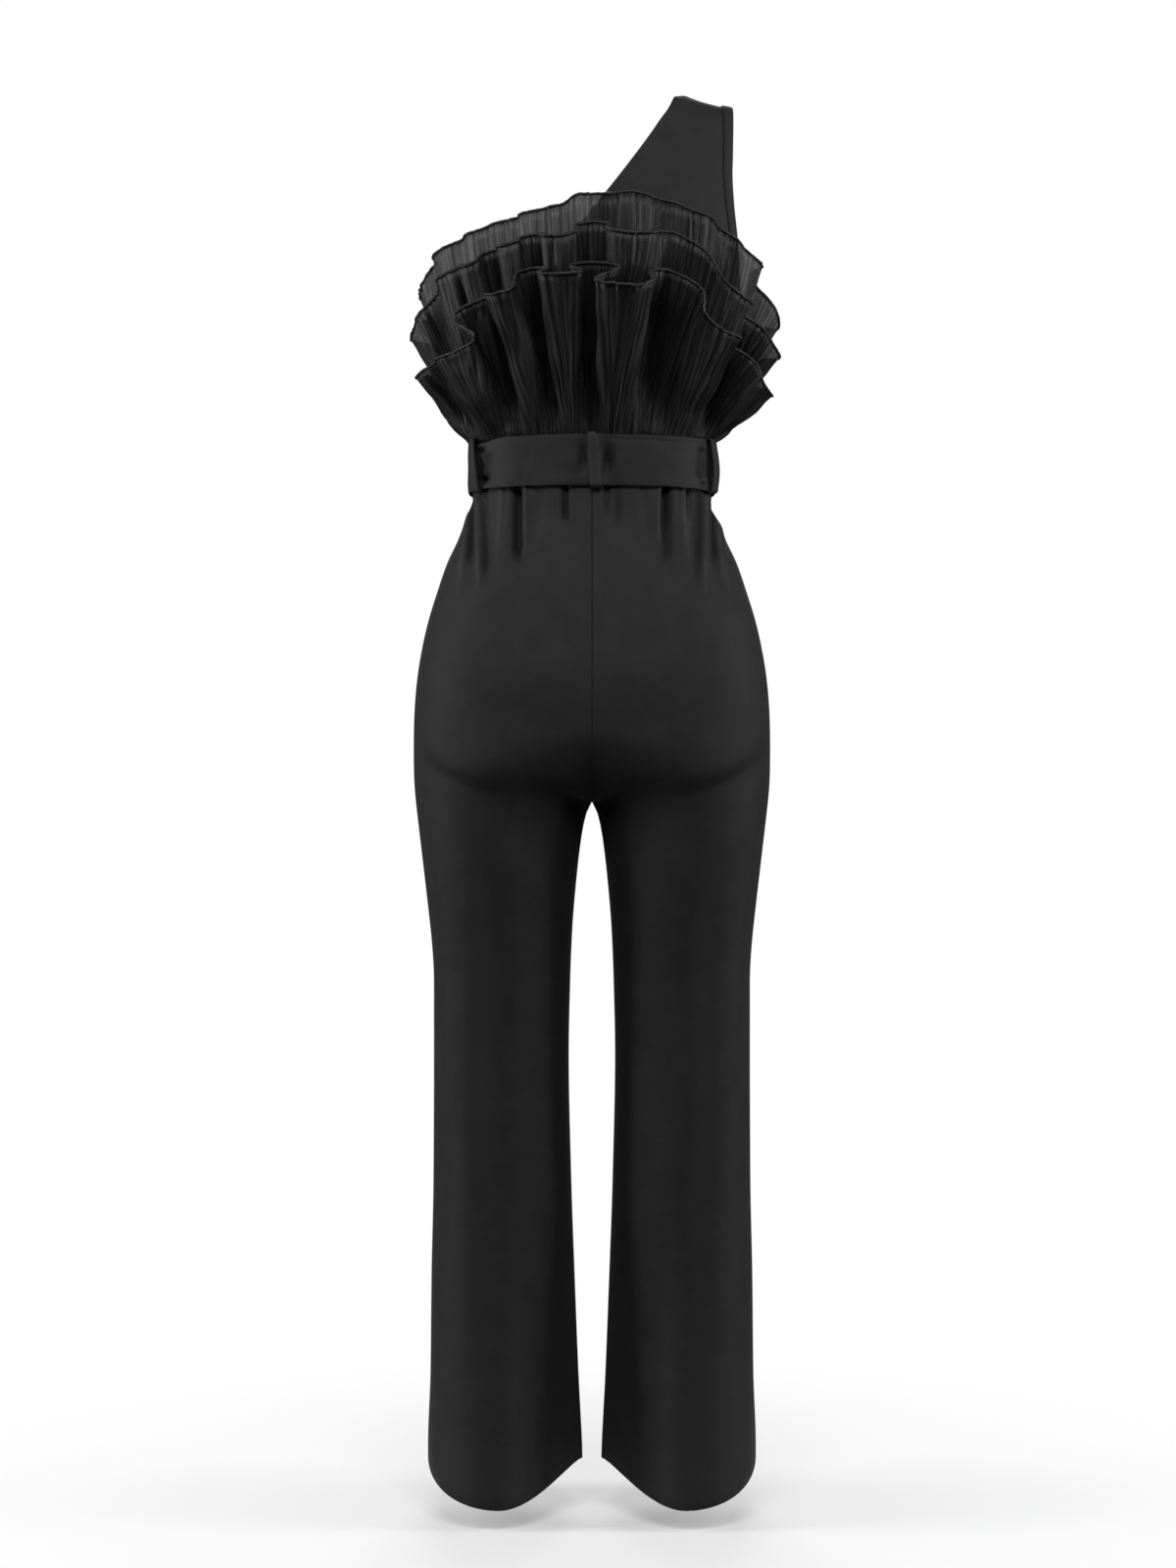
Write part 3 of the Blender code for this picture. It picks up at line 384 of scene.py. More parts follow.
def smooth_values(table, where, name, key="height"):
    """One column of a table where its key column has these values, on the solids' smooth curve."""
    keys, values = column(table, key), column(table, name)
    where = np.clip(where, keys[0], keys[-1])
    steps = np.diff(keys)
    slopes = np.diff(values) / steps
    before, after = np.append(slopes[0], slopes), np.append(slopes, slopes[-1])
    same_way = before * after > 0
    tangents = np.where(same_way, 2 * before * after / np.where(same_way, before + after, 1.0), 0.0)
    i = np.clip(np.searchsorted(keys, where, side="right") - 1, 0, len(steps) - 1)
    t = (where - keys[i]) / steps[i]
    rise = values[i + 1] - values[i]
    start, end = tangents[i] * steps[i], tangents[i + 1] * steps[i]
    return values[i] + t * start + t * t * (3 * rise - 2 * start - end) + t**3 * (start + end - 2 * rise)


def between(low, high, share):
    return low + (high - low) * share


def ease(low, high, value):
    t = np.clip((value - low) / (high - low), 0.0, 1.0)
    return t * t * (3 - 2 * t)


def bell(distance, width):
    return np.exp(-((distance / width) ** 2))


def away(turn, centre):
    """How far a turn is from another, between -180 and 180."""
    return (turn - centre + 180.0) % 360.0 - 180.0


def side_depth(turn, back, front):
    return np.where(np.cos(np.radians(turn)) > 0, back, front)


def ring_points(turn, half_width, back, front, height):
    angle = np.radians(turn)
    x, y = -half_width * np.sin(angle), side_depth(turn, back, front) * np.cos(angle)
    return np.stack(np.broadcast_arrays(x, y, height), axis=-1)


def ring_normals(turn, half_width, back, front):
    angle = np.radians(turn)
    x, y = -side_depth(turn, back, front) * np.sin(angle), half_width * np.cos(angle)
    size = np.hypot(x, y)
    return np.stack(np.broadcast_arrays(x / size, y / size, 0.0), axis=-1)


def unit(vectors):
    return vectors / np.maximum(np.linalg.norm(vectors, axis=-1, keepdims=True), 1e-12)


def dot(a, b):
    return np.sum(a * b, axis=-1)


def slopes_across(points, closed):
    if closed:
        return np.roll(points, -1, axis=1) - np.roll(points, 1, axis=1)
    return np.gradient(points, axis=1)


def normals(points, closed=False):
    """The direction square to a grid, outwards where its columns go with the turn and its rows up."""
    return unit(np.cross(slopes_across(points, closed), np.gradient(points, axis=0)))


def noise_round(place, cells, seed, rows=None, row_cells=1):
    """Smooth values from -1 to 1 round a closed line, where place is 0 to 1, and along rows, if given."""
    values = np.random.default_rng(seed).uniform(-1.0, 1.0, (row_cells + 2, cells))
    at = (place % 1.0) * cells
    i = np.floor(at).astype(int)
    t = ease(0.0, 1.0, at - i)
    i, after = i % cells, (i + 1) % cells
    if rows is None:
        return between(values[0, i], values[0, after], t)
    row_at = np.clip(rows, 0.0, 1.0) * row_cells
    j = np.floor(row_at).astype(int)
    s = ease(0.0, 1.0, row_at - j)
    low = between(values[j, i], values[j, after], t)
    high = between(values[j + 1, i], values[j + 1, after], t)
    return between(low, high, s)


def length_along(line):
    """The distance along a line of points up to each of them."""
    return np.append(0.0, np.cumsum(np.linalg.norm(np.diff(line, axis=0), axis=1)))


# --- Meshes ---
# The shade values are painted shade and highlight: below 1 they darken a colour where little light comes,
# above 1 they lighten it.
SHADE = "shade"  # the name of a mesh's values that darken its material


def put_in_scene(name, data):
    made = bpy.data.objects.new(name, data)
    bpy.context.scene.collection.objects.link(made)
    return made


def grid_faces(rows, columns, closed, closed_rows=False):
    """The faces of a grid of points, which may be closed across its columns and along its rows."""
    across = np.arange(columns if closed else columns - 1)
    along = np.arange(rows if closed_rows else rows - 1)
    r, c = np.meshgrid(along, across, indexing="ij")
    row, next_row, after = r * columns, (r + 1) % rows * columns, (c + 1) % columns
    return np.stack([row + c, row + after, next_row + after, next_row + c], -1).reshape(-1, 4)


def plain_mesh(name, points, faces, finish):
    """A mesh in the frame of the part, from points in the garment's own frame."""
    mesh = bpy.data.meshes.new(name)
    in_frame = np.asarray(points, float).reshape(-1, 3) + ROOT
    mesh.from_pydata(in_frame.tolist(), [], faces if isinstance(faces, list) else faces.tolist())
    mesh.materials.append(finish)
    return mesh


def make_piece(name, points, faces, finish, uvs=None, shade=1.0):
    """A smooth piece of the garment.

    uvs and shade have one value for each point. shade is painted light: it darkens the cloth where a fold
    keeps the light out, and lightens it where a ridge or a loop catches the light.
    """
    mesh = plain_mesh(name, points, faces, finish)
    mesh.shade_smooth()
    values = np.broadcast_to(np.asarray(shade, np.float32), np.shape(points)[:-1])
    mesh.attributes.new(SHADE, "FLOAT", "POINT").data.foreach_set("value", values.ravel())
    if uvs is not None:
        corners = np.empty(len(mesh.loops), np.int32)
        mesh.loops.foreach_get("vertex_index", corners)
        layer = mesh.uv_layers.new(name="cloth")
        layer.data.foreach_set("uv", np.asarray(uvs, np.float32).reshape(-1, 2)[corners].ravel())
    piece = put_in_scene(name, mesh)
    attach(piece, "root")
    return piece


def cloth_uvs(points):
    """Distances in metres across and along a grid, so that a weave keeps its size."""
    across = np.linalg.norm(np.diff(points, axis=1), axis=2)
    across = np.cumsum(np.concatenate([np.zeros((len(points), 1)), across], axis=1), axis=1)
    along = np.linalg.norm(np.diff(points, axis=0), axis=2)
    along = np.cumsum(np.concatenate([np.zeros((1, points.shape[1])), along]), axis=0)
    return np.stack([across, along], axis=-1)


def cloth(name, points, wall, finish, node, closed=False, uvs=None, shade=1.0):
    """A thin shell round a grid of points, which stands for a solid of the part."""
    uvs = cloth_uvs(points) if uvs is None else uvs
    piece = make_piece(name, points, grid_faces(*points.shape[:2], closed), finish, uvs, shade)
    solidify = piece.modifiers.new("wall", "SOLIDIFY")
    solidify.thickness = wall
    solidify.offset = 0.0
    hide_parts(node)
    return piece


def rings_round(sides, sideways, upwards):
    """A ring of directions for each point of a path, from two directions square to it."""
    angle = (np.arange(sides) * math.tau / sides)[None, :, None]
    return np.cos(angle) * sideways[:, None] + np.sin(angle) * upwards[:, None]


def tube_round(name, path, sideways, upwards, radius, sides, finish):
    """A closed tube round a closed path, its section lying in the two directions given for each point."""
    points = path[:, None] + rings_round(sides, sideways, upwards) * radius[:, None, None]
    return make_piece(name, points, grid_faces(len(path), sides, True, closed_rows=True), finish)


# The cloth that is turned under at an edge, into a seam or as a hem: how far each row of points lies
# beyond the edge, and how far down from the cloth's face.
Turn = namedtuple("Turn", "seam_reach seam_drop hem_reach hem_drop")
TURNS = (
    Turn(-0.00110, 0.0, -0.00030, 0.0),
    Turn(-0.00068, 0.00012, 0.00010, 0.00035),
    Turn(-0.00042, 0.00042, 0.00005, 0.00090),
    Turn(-0.00028, 0.00110, -0.00060, 0.00125),
    Turn(-0.00026, 0.00500, -0.00700, 0.00130),
)
ADDED = len(TURNS) - 1  # a turned edge has this many more points


def turned_under(points, outwards, end, is_hem=1.0):
    """The grid with its last column (end -1) or first column (end 0) turned under.

    is_hem is 0 for a seam and 1 for a hem, also for each row.
    """
    edge = points[:, end]
    beside = points[:, -2 if end == -1 else 1]
    along = unit(edge - beside)
    down = -outwards[:, end]
    share = np.broadcast_to(np.asarray(is_hem, float), (len(points),))[:, None]
    added = []
    for turn in TURNS:
        reach = between(turn.seam_reach, turn.hem_reach, share)
        drop = between(turn.seam_drop, turn.hem_drop, share)
        added.append(edge + along * reach + down * drop)
    added = np.stack(added, axis=1)
    if end == -1:
        return np.concatenate([points[:, :-1], added], axis=1)
    return np.concatenate([added[:, ::-1], points[:, 1:]], axis=1)


# --- Materials ---
def new_material(name):
    made = bpy.data.materials.new(name)
    made.use_nodes = True
    nodes = made.node_tree.nodes
    return made, nodes, made.node_tree.links.new, nodes["Principled BSDF"]


def set_inputs(node, **values):
    """Sets a node's inputs by name, with an underscore for each space."""
    for name, value in values.items():
        node.inputs[name.replace("_", " ")].default_value = value


def add_node(nodes, kind, operation=None, **values):
    node = nodes.new(f"ShaderNode{kind}")
    if operation is not None:
        node.operation = operation
    set_inputs(node, **values)
    return node


def add_colours(nodes, *stops):
    """A colour ramp between two stops, each a place and a colour."""
    colours = add_node(nodes, "ValToRGB")
    for element, (place, colour) in zip(colours.color_ramp.elements, stops):
        element.position, element.color = place, (*colour, 1.0)
    return colours


def darken(nodes, link, colour):
    """A colour times the mesh's own shade values, the painted shade and highlight."""
    shade = add_node(nodes, "Attribute")
    shade.attribute_name = SHADE
    shaded = add_node(nodes, "VectorMath", "SCALE")
    link(colour, shaded.inputs["Vector"])
    link(shade.outputs["Fac"], shaded.inputs["Scale"])
    return shaded.outputs["Vector"]


def crepe_material(name, dark, light, roughness, grain):
    """A matt knitted crepe: a fine grain, a faint mottling of its colour, and the painted shade and
    highlight of the mesh's shade values.
    """
    made, nodes, link, shader = new_material(name)
    set_inputs(shader, Roughness=roughness, Specular_IOR_Level=0.16, Sheen_Weight=0.03, Sheen_Roughness=0.4)
    mottle = add_node(nodes, "TexNoise", Scale=38.0, Detail=4.0, Roughness=0.6)
    fine = add_node(nodes, "TexNoise", Scale=1400.0, Detail=3.0, Roughness=0.7)
    coarse = add_node(nodes, "TexNoise", Scale=260.0, Detail=2.0)
    place = add_node(nodes, "TexCoord")
    for texture in (mottle, fine, coarse):
        link(place.outputs["Object"], texture.inputs["Vector"])
    colours = add_colours(nodes, (0.30, dark), (0.70, light))
    link(mottle.outputs["Fac"], colours.inputs["Fac"])
    # The mottled colour is scaled by the painted shade and highlight of the folds, dents and loops.
    link(darken(nodes, link, colours.outputs["Color"]), shader.inputs["Base Color"])
    both = add_node(nodes, "Math", "MULTIPLY_ADD")
    both.inputs[1].default_value = 0.5
    link(fine.outputs["Fac"], both.inputs[0])
    link(coarse.outputs["Fac"], both.inputs[2])
    bump = add_node(nodes, "Bump", Strength=grain, Distance=0.0006)
    link(both.outputs["Value"], bump.inputs["Height"])
    link(bump.outputs["Normal"], shader.inputs["Normal"])
    return made


def organza_material(name):
    """A sheer crinkled cloth: fine lines up the cloth, denser where they bunch, with painted shade and
    highlight along the lines and painted shade in its hollows.
    """
    made, nodes, link, shader = new_material(name)
    set_inputs(shader, Roughness=0.46, Specular_IOR_Level=0.30, Sheen_Weight=0.02, Sheen_Roughness=0.35)
    place = add_node(nodes, "TexCoord")

    def lines(across_scale, along_scale):
        mapping = add_node(nodes, "Mapping", Scale=(across_scale, along_scale, 1.0))
        texture = add_node(nodes, "TexNoise", Scale=1.0, Detail=2.0, Roughness=0.55)
        link(place.outputs["UV"], mapping.inputs["Vector"])
        link(mapping.outputs["Vector"], texture.inputs["Vector"])
        return texture.outputs["Fac"]

    def ramp(value, low, high, to_low, to_high):
        change = add_node(nodes, "MapRange", From_Min=low, From_Max=high, To_Min=to_low, To_Max=to_high)
        change.interpolation_type = "SMOOTHSTEP"
        link(value, change.inputs["Value"])
        return change.outputs["Result"]

    def combine(operation, *values):
        node = add_node(nodes, "Math", operation)
        for socket, value in zip(node.inputs, values):
            if isinstance(value, float):
                socket.default_value = value
            else:
                link(value, socket)
        return node.outputs["Value"]

    fine, medium = lines(560.0, 7.0), lines(230.0, 5.0)
    mixed = combine("MULTIPLY_ADD", fine, 0.55, combine("MULTIPLY", medium, 0.65))
    # Bunched at the waist it is opaque, and the lines are denser than the cloth between them.
    split = add_node(nodes, "SeparateXYZ")
    link(place.outputs["UV"], split.inputs["Vector"])
    bunched = ramp(split.outputs["Y"], 0.04, 0.20, 1.0, 0.80)
    denser = ramp(mixed, 0.46, 0.74, 0.06, -0.05)
    link(combine("MINIMUM", combine("ADD", bunched, denser), 1.0), shader.inputs["Alpha"])
    # The lines' colour is painted light: dark in the crinkles' valleys and light on their ridges, the same
    # lines that the bump raises, then scaled by the painted shade of the hollows, pleats and gathers.
    colours = add_colours(nodes, (0.50, (0.0035, 0.0035, 0.0040)), (0.74, (0.062, 0.061, 0.065)))
    link(mixed, colours.inputs["Fac"])
    link(darken(nodes, link, colours.outputs["Color"]), shader.inputs["Base Color"])
    bump = add_node(nodes, "Bump", Strength=1.0, Distance=0.0020)
    link(mixed, bump.inputs["Height"])
    link(bump.outputs["Normal"], shader.inputs["Normal"])
    return made


def plain_material(name, colour, roughness):
    made, _, _, shader = new_material(name)
    set_inputs(shader, Base_Color=(*colour, 1.0), Roughness=roughness, Specular_IOR_Level=0.2)
    return made


# --- Bodice ---
BODICE_FINE_ROWS, BODICE_FINE_COLUMNS = 132, 56
DRAG_LINES, WAIST_DRAG_LINES = 0.0004, 0.0014  # their height all over, and added towards the waist seam
DRAG_LINES_ROUND, DRAG_LINES_UP = 46, 5
DRAG_LINE_SEEDS = {"back": 11, "front": 12}
STRAP_SEAM_CLOSES = 0.9  # share of the gap that the shoulder seam draws closed


def torso(up):
    """Half width, back depth, front depth and height of the figure.

    Past CHEST_TOP, up goes over the shoulder.
    """
    low = np.minimum(up, CHEST_TOP)
    half_width, back, front = (smooth_values(TORSO, low, name) for name in TorsoRow._fields[1:])
    over = math.radians(90) * np.maximum(up - CHEST_TOP, 0.0) / SHOULDER_ARC
    return half_width, back * np.cos(over), front * np.cos(over), low + SHOULDER_RISE * np.sin(over)


def torso_points(turn, up):
    """Points of the figure, with the fall of its shoulders and the rounded top of the strap."""
    points = ring_points(turn, *torso(up))
    outwards = np.abs(points[..., 0]) - NECK_EDGE_X
    points[..., 2] -= SHOULDER_SLOPE * outwards * ease(SHOULDER_SLOPE_FROM, CHEST_TOP, up)
    shoulder = ease(CHEST_TOP + 0.5 * SHOULDER_ARC, CHEST_TOP + SHOULDER_ARC, up)
    corner = NECK_ROUND_DROP * (1 - np.clip(outwards / NECK_ROUND_REACH, 0.0, 1.0)) ** 2
    dip = STRAP_DIP * np.sin(math.pi * np.clip(outwards / STRAP_WIDTH, 0.0, 1.0))
    points[..., 2] -= (corner + dip) * shoulder
    return points


def bodice_ends(level, face):
    """The left turn and up, and the right turn and up, of a bodice panel at levels between its rows."""
    names = (f"{face}_left_turn", f"{face}_left_up", f"{face}_right_turn", "right_up")
    return [smooth_values(BODICE, level, name, key="row") for name in names]


def bodice_cloth(face):
    """Points of a bodice panel, with its drag lines and with its edges turned in."""
    last = len(BODICE) - 1.0
    level = np.linspace(0.0, last, BODICE_FINE_ROWS)[:, None]
    share = np.linspace(0.0, 1.0, BODICE_FINE_COLUMNS)[None, :]
    left_turn, left_up, right_turn, right_up = bodice_ends(level, face)
    turn, up = between(left_turn, right_turn, share), between(left_up, right_up, share)
    points = torso_points(turn if face == "back" else 180 - turn, up)
    sign = 1.0 if face == "back" else -1.0
    gap = SEAM_GAP * (1 - STRAP_SEAM_CLOSES * ease(CHEST_TOP, CHEST_TOP + SHOULDER_ARC, up))
    points[..., 1] += sign * gap / 2
    out = normals(points) * sign
    place, rows = turn / 360.0, np.broadcast_to(level / last, turn.shape)
    lines = noise_round(place, DRAG_LINES_ROUND, DRAG_LINE_SEEDS[face], rows, DRAG_LINES_UP)
    high = DRAG_LINES + WAIST_DRAG_LINES * (1 - ease(0.0, 5.0, level))
    points = points + out * (lines * high)[..., None]
    out = normals(points) * sign
    free_edge = ease(ARMHOLE_FROM - 0.2, ARMHOLE_FROM + 0.2, level[:, 0])
    return turned_under(turned_under(points, out, -1, free_edge), out, 0, free_edge)


def armhole_path(face):
    """The turn and up of the armhole's edge, from its bottom to the shoulder seam."""
    level = np.linspace(ARMHOLE_FROM, len(BODICE) - 1.0, ARMHOLE_FINE_ROWS)
    _, _, turn, up = bodice_ends(level, face)
    return turn if face == "back" else 180 - turn, up


BINDING_CLEARANCE = 0.0004
BINDING_OVERHANG = 0.12  # share of its width that lies past the armhole's edge
BINDING_CROWN, BINDING_TURN_DOWN = 0.0005, 0.0009
BINDING_FINE_ROWS, STITCHED_ROW = 11, 8  # the stitching lies between this row and the next
ARMHOLE_FINE_ROWS = 90


def binding_cloth():
    """The band round the armhole, with its own soft crown, and the path of the stitching on it."""
    back_turn, back_up = armhole_path("back")
    front_turn, front_up = armhole_path("front")
    turn = np.concatenate([back_turn, front_turn[::-1][1:-1]])
    up = np.concatenate([back_up, front_up[::-1][1:-1]])
    edge = torso_points(turn, up)
    turn_step, up_step = 0.5, 0.0005
    along_turn = (torso_points(turn + turn_step, up) - torso_points(turn - turn_step, up)) / (2 * turn_step)
    along_up = (torso_points(turn, up + up_step) - torso_points(turn, up - up_step)) / (2 * up_step)
    out = unit(np.cross(along_turn, along_up))
    tangent = unit(np.roll(edge, -1, axis=0) - np.roll(edge, 1, axis=0))
    inwards = unit(np.cross(out, tangent))
    lift = KNIT / 2 + BINDING_WALL / 2 + BINDING_CLEARANCE
    tt, tu, uu = dot(along_turn, along_turn), dot(along_turn, along_up), dot(along_up, along_up)
    scale = tt * uu - tu * tu
    rows = []
    for share in np.linspace(-BINDING_OVERHANG, 1.0, BINDING_FINE_ROWS):
        # Inside the edge the band follows the figure, so each step inwards is turned into turns and heights.
        step = inwards * BINDING_WIDTH * share
        it, iu = dot(step, along_turn), dot(step, along_up)
        on_figure = torso_points(turn + (it * uu - iu * tu) / scale, up + (iu * tt - it * tu) / scale)
        crown = BINDING_CROWN * math.sin(math.pi * (share + BINDING_OVERHANG) / (1 + BINDING_OVERHANG))
        down = BINDING_TURN_DOWN * max(-share / BINDING_OVERHANG, 0.0)
        rows.append(on_figure + out * (lift + crown - down))
    rows = np.array(rows)
    stitch = between(rows[STITCHED_ROW], rows[STITCHED_ROW + 1], 0.5) + out * BINDING_WALL / 2
    return rows, stitch, out


# --- Trousers ---
TROUSER_TOP = 1.0656  # height of the highest row, behind the belt
ROWS_ABOVE, ROWS_CROTCH, ROWS_BELOW = 72, 28, 60
TROUSER_FINE_COLUMNS = 104
SINKING_POWER, TURNING_POWER = 0.75, 1.8  # how unevenly the rows sink and turn round the crotch
FORK_POWER = 8  # how suddenly the legs leave the centre plane
# Below 1 a section is squarer: all of it, up to these heights, and the leg's half towards the inseam.
SECTION_SQUARENESS, ROUND_FROM, INSEAM_SQUARENESS = 0.88, (0.92, 1.0), 0.72
CROTCH_LAP = 0.0009  # closes the crotch seam, and sets in and ends at these turns of it
LAP_STARTS, LAP_ENDS = (0.0, 25.0), (80.0, 90.0)
# Where the seat becomes two legs, the form is evened out this often, between these heights, and as far
# as these shares of the way from side seam to centre seam.
SOFTENING_PASSES = 60
SOFT_FROM, SOFT_TO, SOFT_ACROSS = (0.58, 0.66), (0.86, 0.92), (0.72, 0.95)
SEAM_ENDS = (55.0, 90.0)  # turns of the crotch over which the turned-in centre seam becomes the inseam
FOLD_FADES_IN, FOLD_FADES_OUT = 0.18, 0.70  # shares of a fold's length
FOLD_WIDENS = 0.35  # share of its width that a fold gains towards its end
CREASE_STARTS, CREASE_ENDS = (-0.25, 0.30), (0.70, 1.25)  # shares of a crease's length
DEEP_FOLD = 0.0048  # a fold this deep has the darkest shade
FOLD_SHADE, RIDGE_LIGHT, SEAT_SHADE = 0.82, 0.70, 0.30  # how much darker a trough is, or lighter a ridge
PANEL_GIRTH = 0.27  # from the side seam to the inseam, so that a crease is as wide in both directions
CREASE_SWAY, CREASE_SWAYS = 0.004, 19.0  # how far a crease strays, and how fast, in radians for each metre
SHADE_FROM, SHADE_FULL = -0.012, 0.022  # distances below the belt over which a fold's shade sets in


def below_belt(height):
    return WAIST - BELT_HEIGHT / 2 - height


def drawn_in_by_pleats(turn, height):
    """How far the soft pleats under the belt draw each point in."""
    depth = np.zeros(np.broadcast(turn, height).shape)
    below = below_belt(height)
    for pleat in PLEATS:
        fade = 1 - ease(0.0, pleat.length, below)
        depth += pleat.depth * bell(away(turn, pleat.turn), pleat.width) * fade
    return depth * between(PLEAT_AT_BELT, PLEAT_BELOW, ease(0.0, PLEAT_GROWS_OVER, below))


def drawn_in_by_folds(across, face, height):
    """How far the narrower folds draw each point in. Their ridges push it out."""
    depth = np.zeros(np.broadcast(across, height).shape)
    for fold in FOLDS:
        if fold.face != face:
            continue
        along = (below_belt(height) - fold.start) / (fold.end - fold.start)
        fade = ease(0.0, FOLD_FADES_IN, along) * (1 - ease(FOLD_FADES_OUT, 1.0, along))
        along = np.clip(along, 0.0, 1.0)
        middle = between(fold.across_start, fold.across_end, along)
        depth += fold.depth * bell(across - middle, fold.width * (1 + FOLD_WIDENS * along)) * fade
    return depth


def seat_fold_depth(share, height):
    """How far the fold under the seat draws each point in."""
    middle, depth, above, below = (
        smooth_values(SEAT_FOLD, share, name, key="share") for name in SeatFold._fields[1:]
    )
    off = height - middle
    return depth * bell(off, np.where(off > 0, above, below))


def crease_depth(share, height, side, face):
    """How far the soft troughs of the legs and seat draw each point in."""
    depth = np.zeros(np.broadcast(share, height).shape)
    for crease in CREASES:
        if (crease.side, crease.face) != (side, face):
            continue
        start = np.array([crease.from_share * PANEL_GIRTH, crease.from_height])
        run = np.array([crease.to_share * PANEL_GIRTH, crease.to_height]) - start
        length = np.hypot(*run)
        run = run / length
        rel_x, rel_y = share * PANEL_GIRTH - start[0], height - start[1]
        along = rel_x * run[0] + rel_y * run[1]
        off = rel_x * run[1] - rel_y * run[0] + CREASE_SWAY * np.sin(along * CREASE_SWAYS)
        fade = ease(*CREASE_STARTS, along / length) * (1 - ease(*CREASE_ENDS, along / length))
        depth += crease.depth * bell(off, crease.width) * fade
    return depth * ease(0.0, 0.06, share)


def trouser_points(share, outer_height, inner_height, crotch_turn, side, face):
    """Points of a panel, with share 0 at the side seam and 1 at the centre seam or inseam."""
    height = between(outer_height, inner_height, ease(0.0, 1.0, share))
    outer, inner, back, front, flatness, crease = (
        smooth_values(TROUSERS, height, name) for name in TrouserRow._fields[1:]
    )
    depth = back if face > 0 else front
    legs = np.sin(np.radians(crotch_turn))
    lapped = ease(*LAP_STARTS, crotch_turn) * (1 - ease(*LAP_ENDS, crotch_turn))
    inner = between(SEAM_GAP / 2, inner, legs**FORK_POWER) - CROTCH_LAP * lapped
    angle, last = np.radians(share * (90 + crotch_turn)), np.radians(90 + crotch_turn)
    power = between(SECTION_SQUARENESS, 1.0, ease(*ROUND_FROM, height)) / between(flatness, 1.0, legs)
    across = (np.cos(angle) - np.cos(last)) / (1 - np.cos(last))
    x = between(inner, outer, np.maximum(across, 0.0) ** power)
    squareness = between(INSEAM_SQUARENESS, 1.0, ease(1.0, 1.6, crease))
    inner_power = between(power, crease * squareness, legs)
    y = depth * np.maximum(np.sin(angle), 0.0) ** np.where(angle > math.pi / 2, inner_power, power)
    turn = np.degrees(np.arctan2(x, y))
    drawn_in = drawn_in_by_pleats(-turn * side if face > 0 else 180 + turn * side, height)
    drawn_in = drawn_in + drawn_in_by_folds(x * side, face, height)
    outwards = unit(np.stack([x / outer**2, y / depth**2], axis=-1))
    x, y = x - outwards[..., 0] * drawn_in, y - outwards[..., 1] * drawn_in
    side_by_side = ease(1.0, 2.0, crease) * ease(LEG_JOIN_FROM, 1.0, share) * CLOTH / 2
    slope = HEM_BACK_SLOPE if face > 0 else -HEM_FRONT_SLOPE
    hem = between(HEM_OUTER, HEM_INNER, share) - slope * y
    lean = ease(HEM_SLOPE_FROM, LAST_ROW, height)
    z = height + lean * (hem - LAST_ROW)
    return np.stack([x * side, (y + SEAM_GAP / 2 + side_by_side) * face, z], axis=-1)


def trouser_levels():
    """For each row: its height at the side seam and at the inner edge, and how far the crotch has turned."""
    above = np.linspace(TROUSER_TOP, CROTCH + CROTCH_RISE, ROWS_ABOVE)
    sinking = np.linspace(0.0, 1.0, ROWS_CROTCH)[1:] ** SINKING_POWER
    turns = 90.0 * sinking**TURNING_POWER
    below = np.linspace(CROTCH, LAST_ROW, ROWS_BELOW)[1:]
    outer = np.concatenate([above, CROTCH + CROTCH_RISE * (1 - sinking), below])
    inner = np.concatenate([above, CROTCH + CROTCH_RISE * (1 - np.sin(np.radians(turns))), below])
    crotch_turn = np.concatenate([np.zeros_like(above), turns, np.full_like(below, 90.0)])
    return outer[:, None], inner[:, None], crotch_turn[:, None]


def soften(points, share, height):
    """Evens out the form from the side seam to the middle of the panel, from the seat to the thigh."""
    softened = (1 - ease(*SOFT_ACROSS, share)) * ease(*SOFT_FROM, height) * (1 - ease(*SOFT_TO, height))
    for _ in range(SOFTENING_PASSES):
        middle = (points[:-2] + points[2:]) / 2
        points[1:-1] += (softened[1:-1, :, None] / 2) * (middle - points[1:-1])


def trouser_seams(points, crotch_turn, sign):
    """The panel with its edges turned in: the side seam, the centre seam down to the crotch, and the hem.

    Along the inseam the edge stays as it is, because the panels meet in a crease there.
    """
    out = normals(points) * sign
    seam = turned_under(points, out, -1, is_hem=0.0)
    crease = between(points[:, -2:-1], points[:, -1:], np.linspace(0.2, 1.0, ADDED + 1)[None, :, None])
    inseam = np.concatenate([points[:, :-1], crease], axis=1)
    points = between(seam, inseam, ease(*SEAM_ENDS, crotch_turn)[..., None])
    points = turned_under(points, out, 0, is_hem=0.0)
    # For the hem the grid is flipped, so that its last row is turned up inside.
    flipped, out = (np.swapaxes(grid, 0, 1) for grid in (points, normals(points) * sign))
    return np.swapaxes(turned_under(flipped, out, -1, is_hem=1.0), 0, 1)


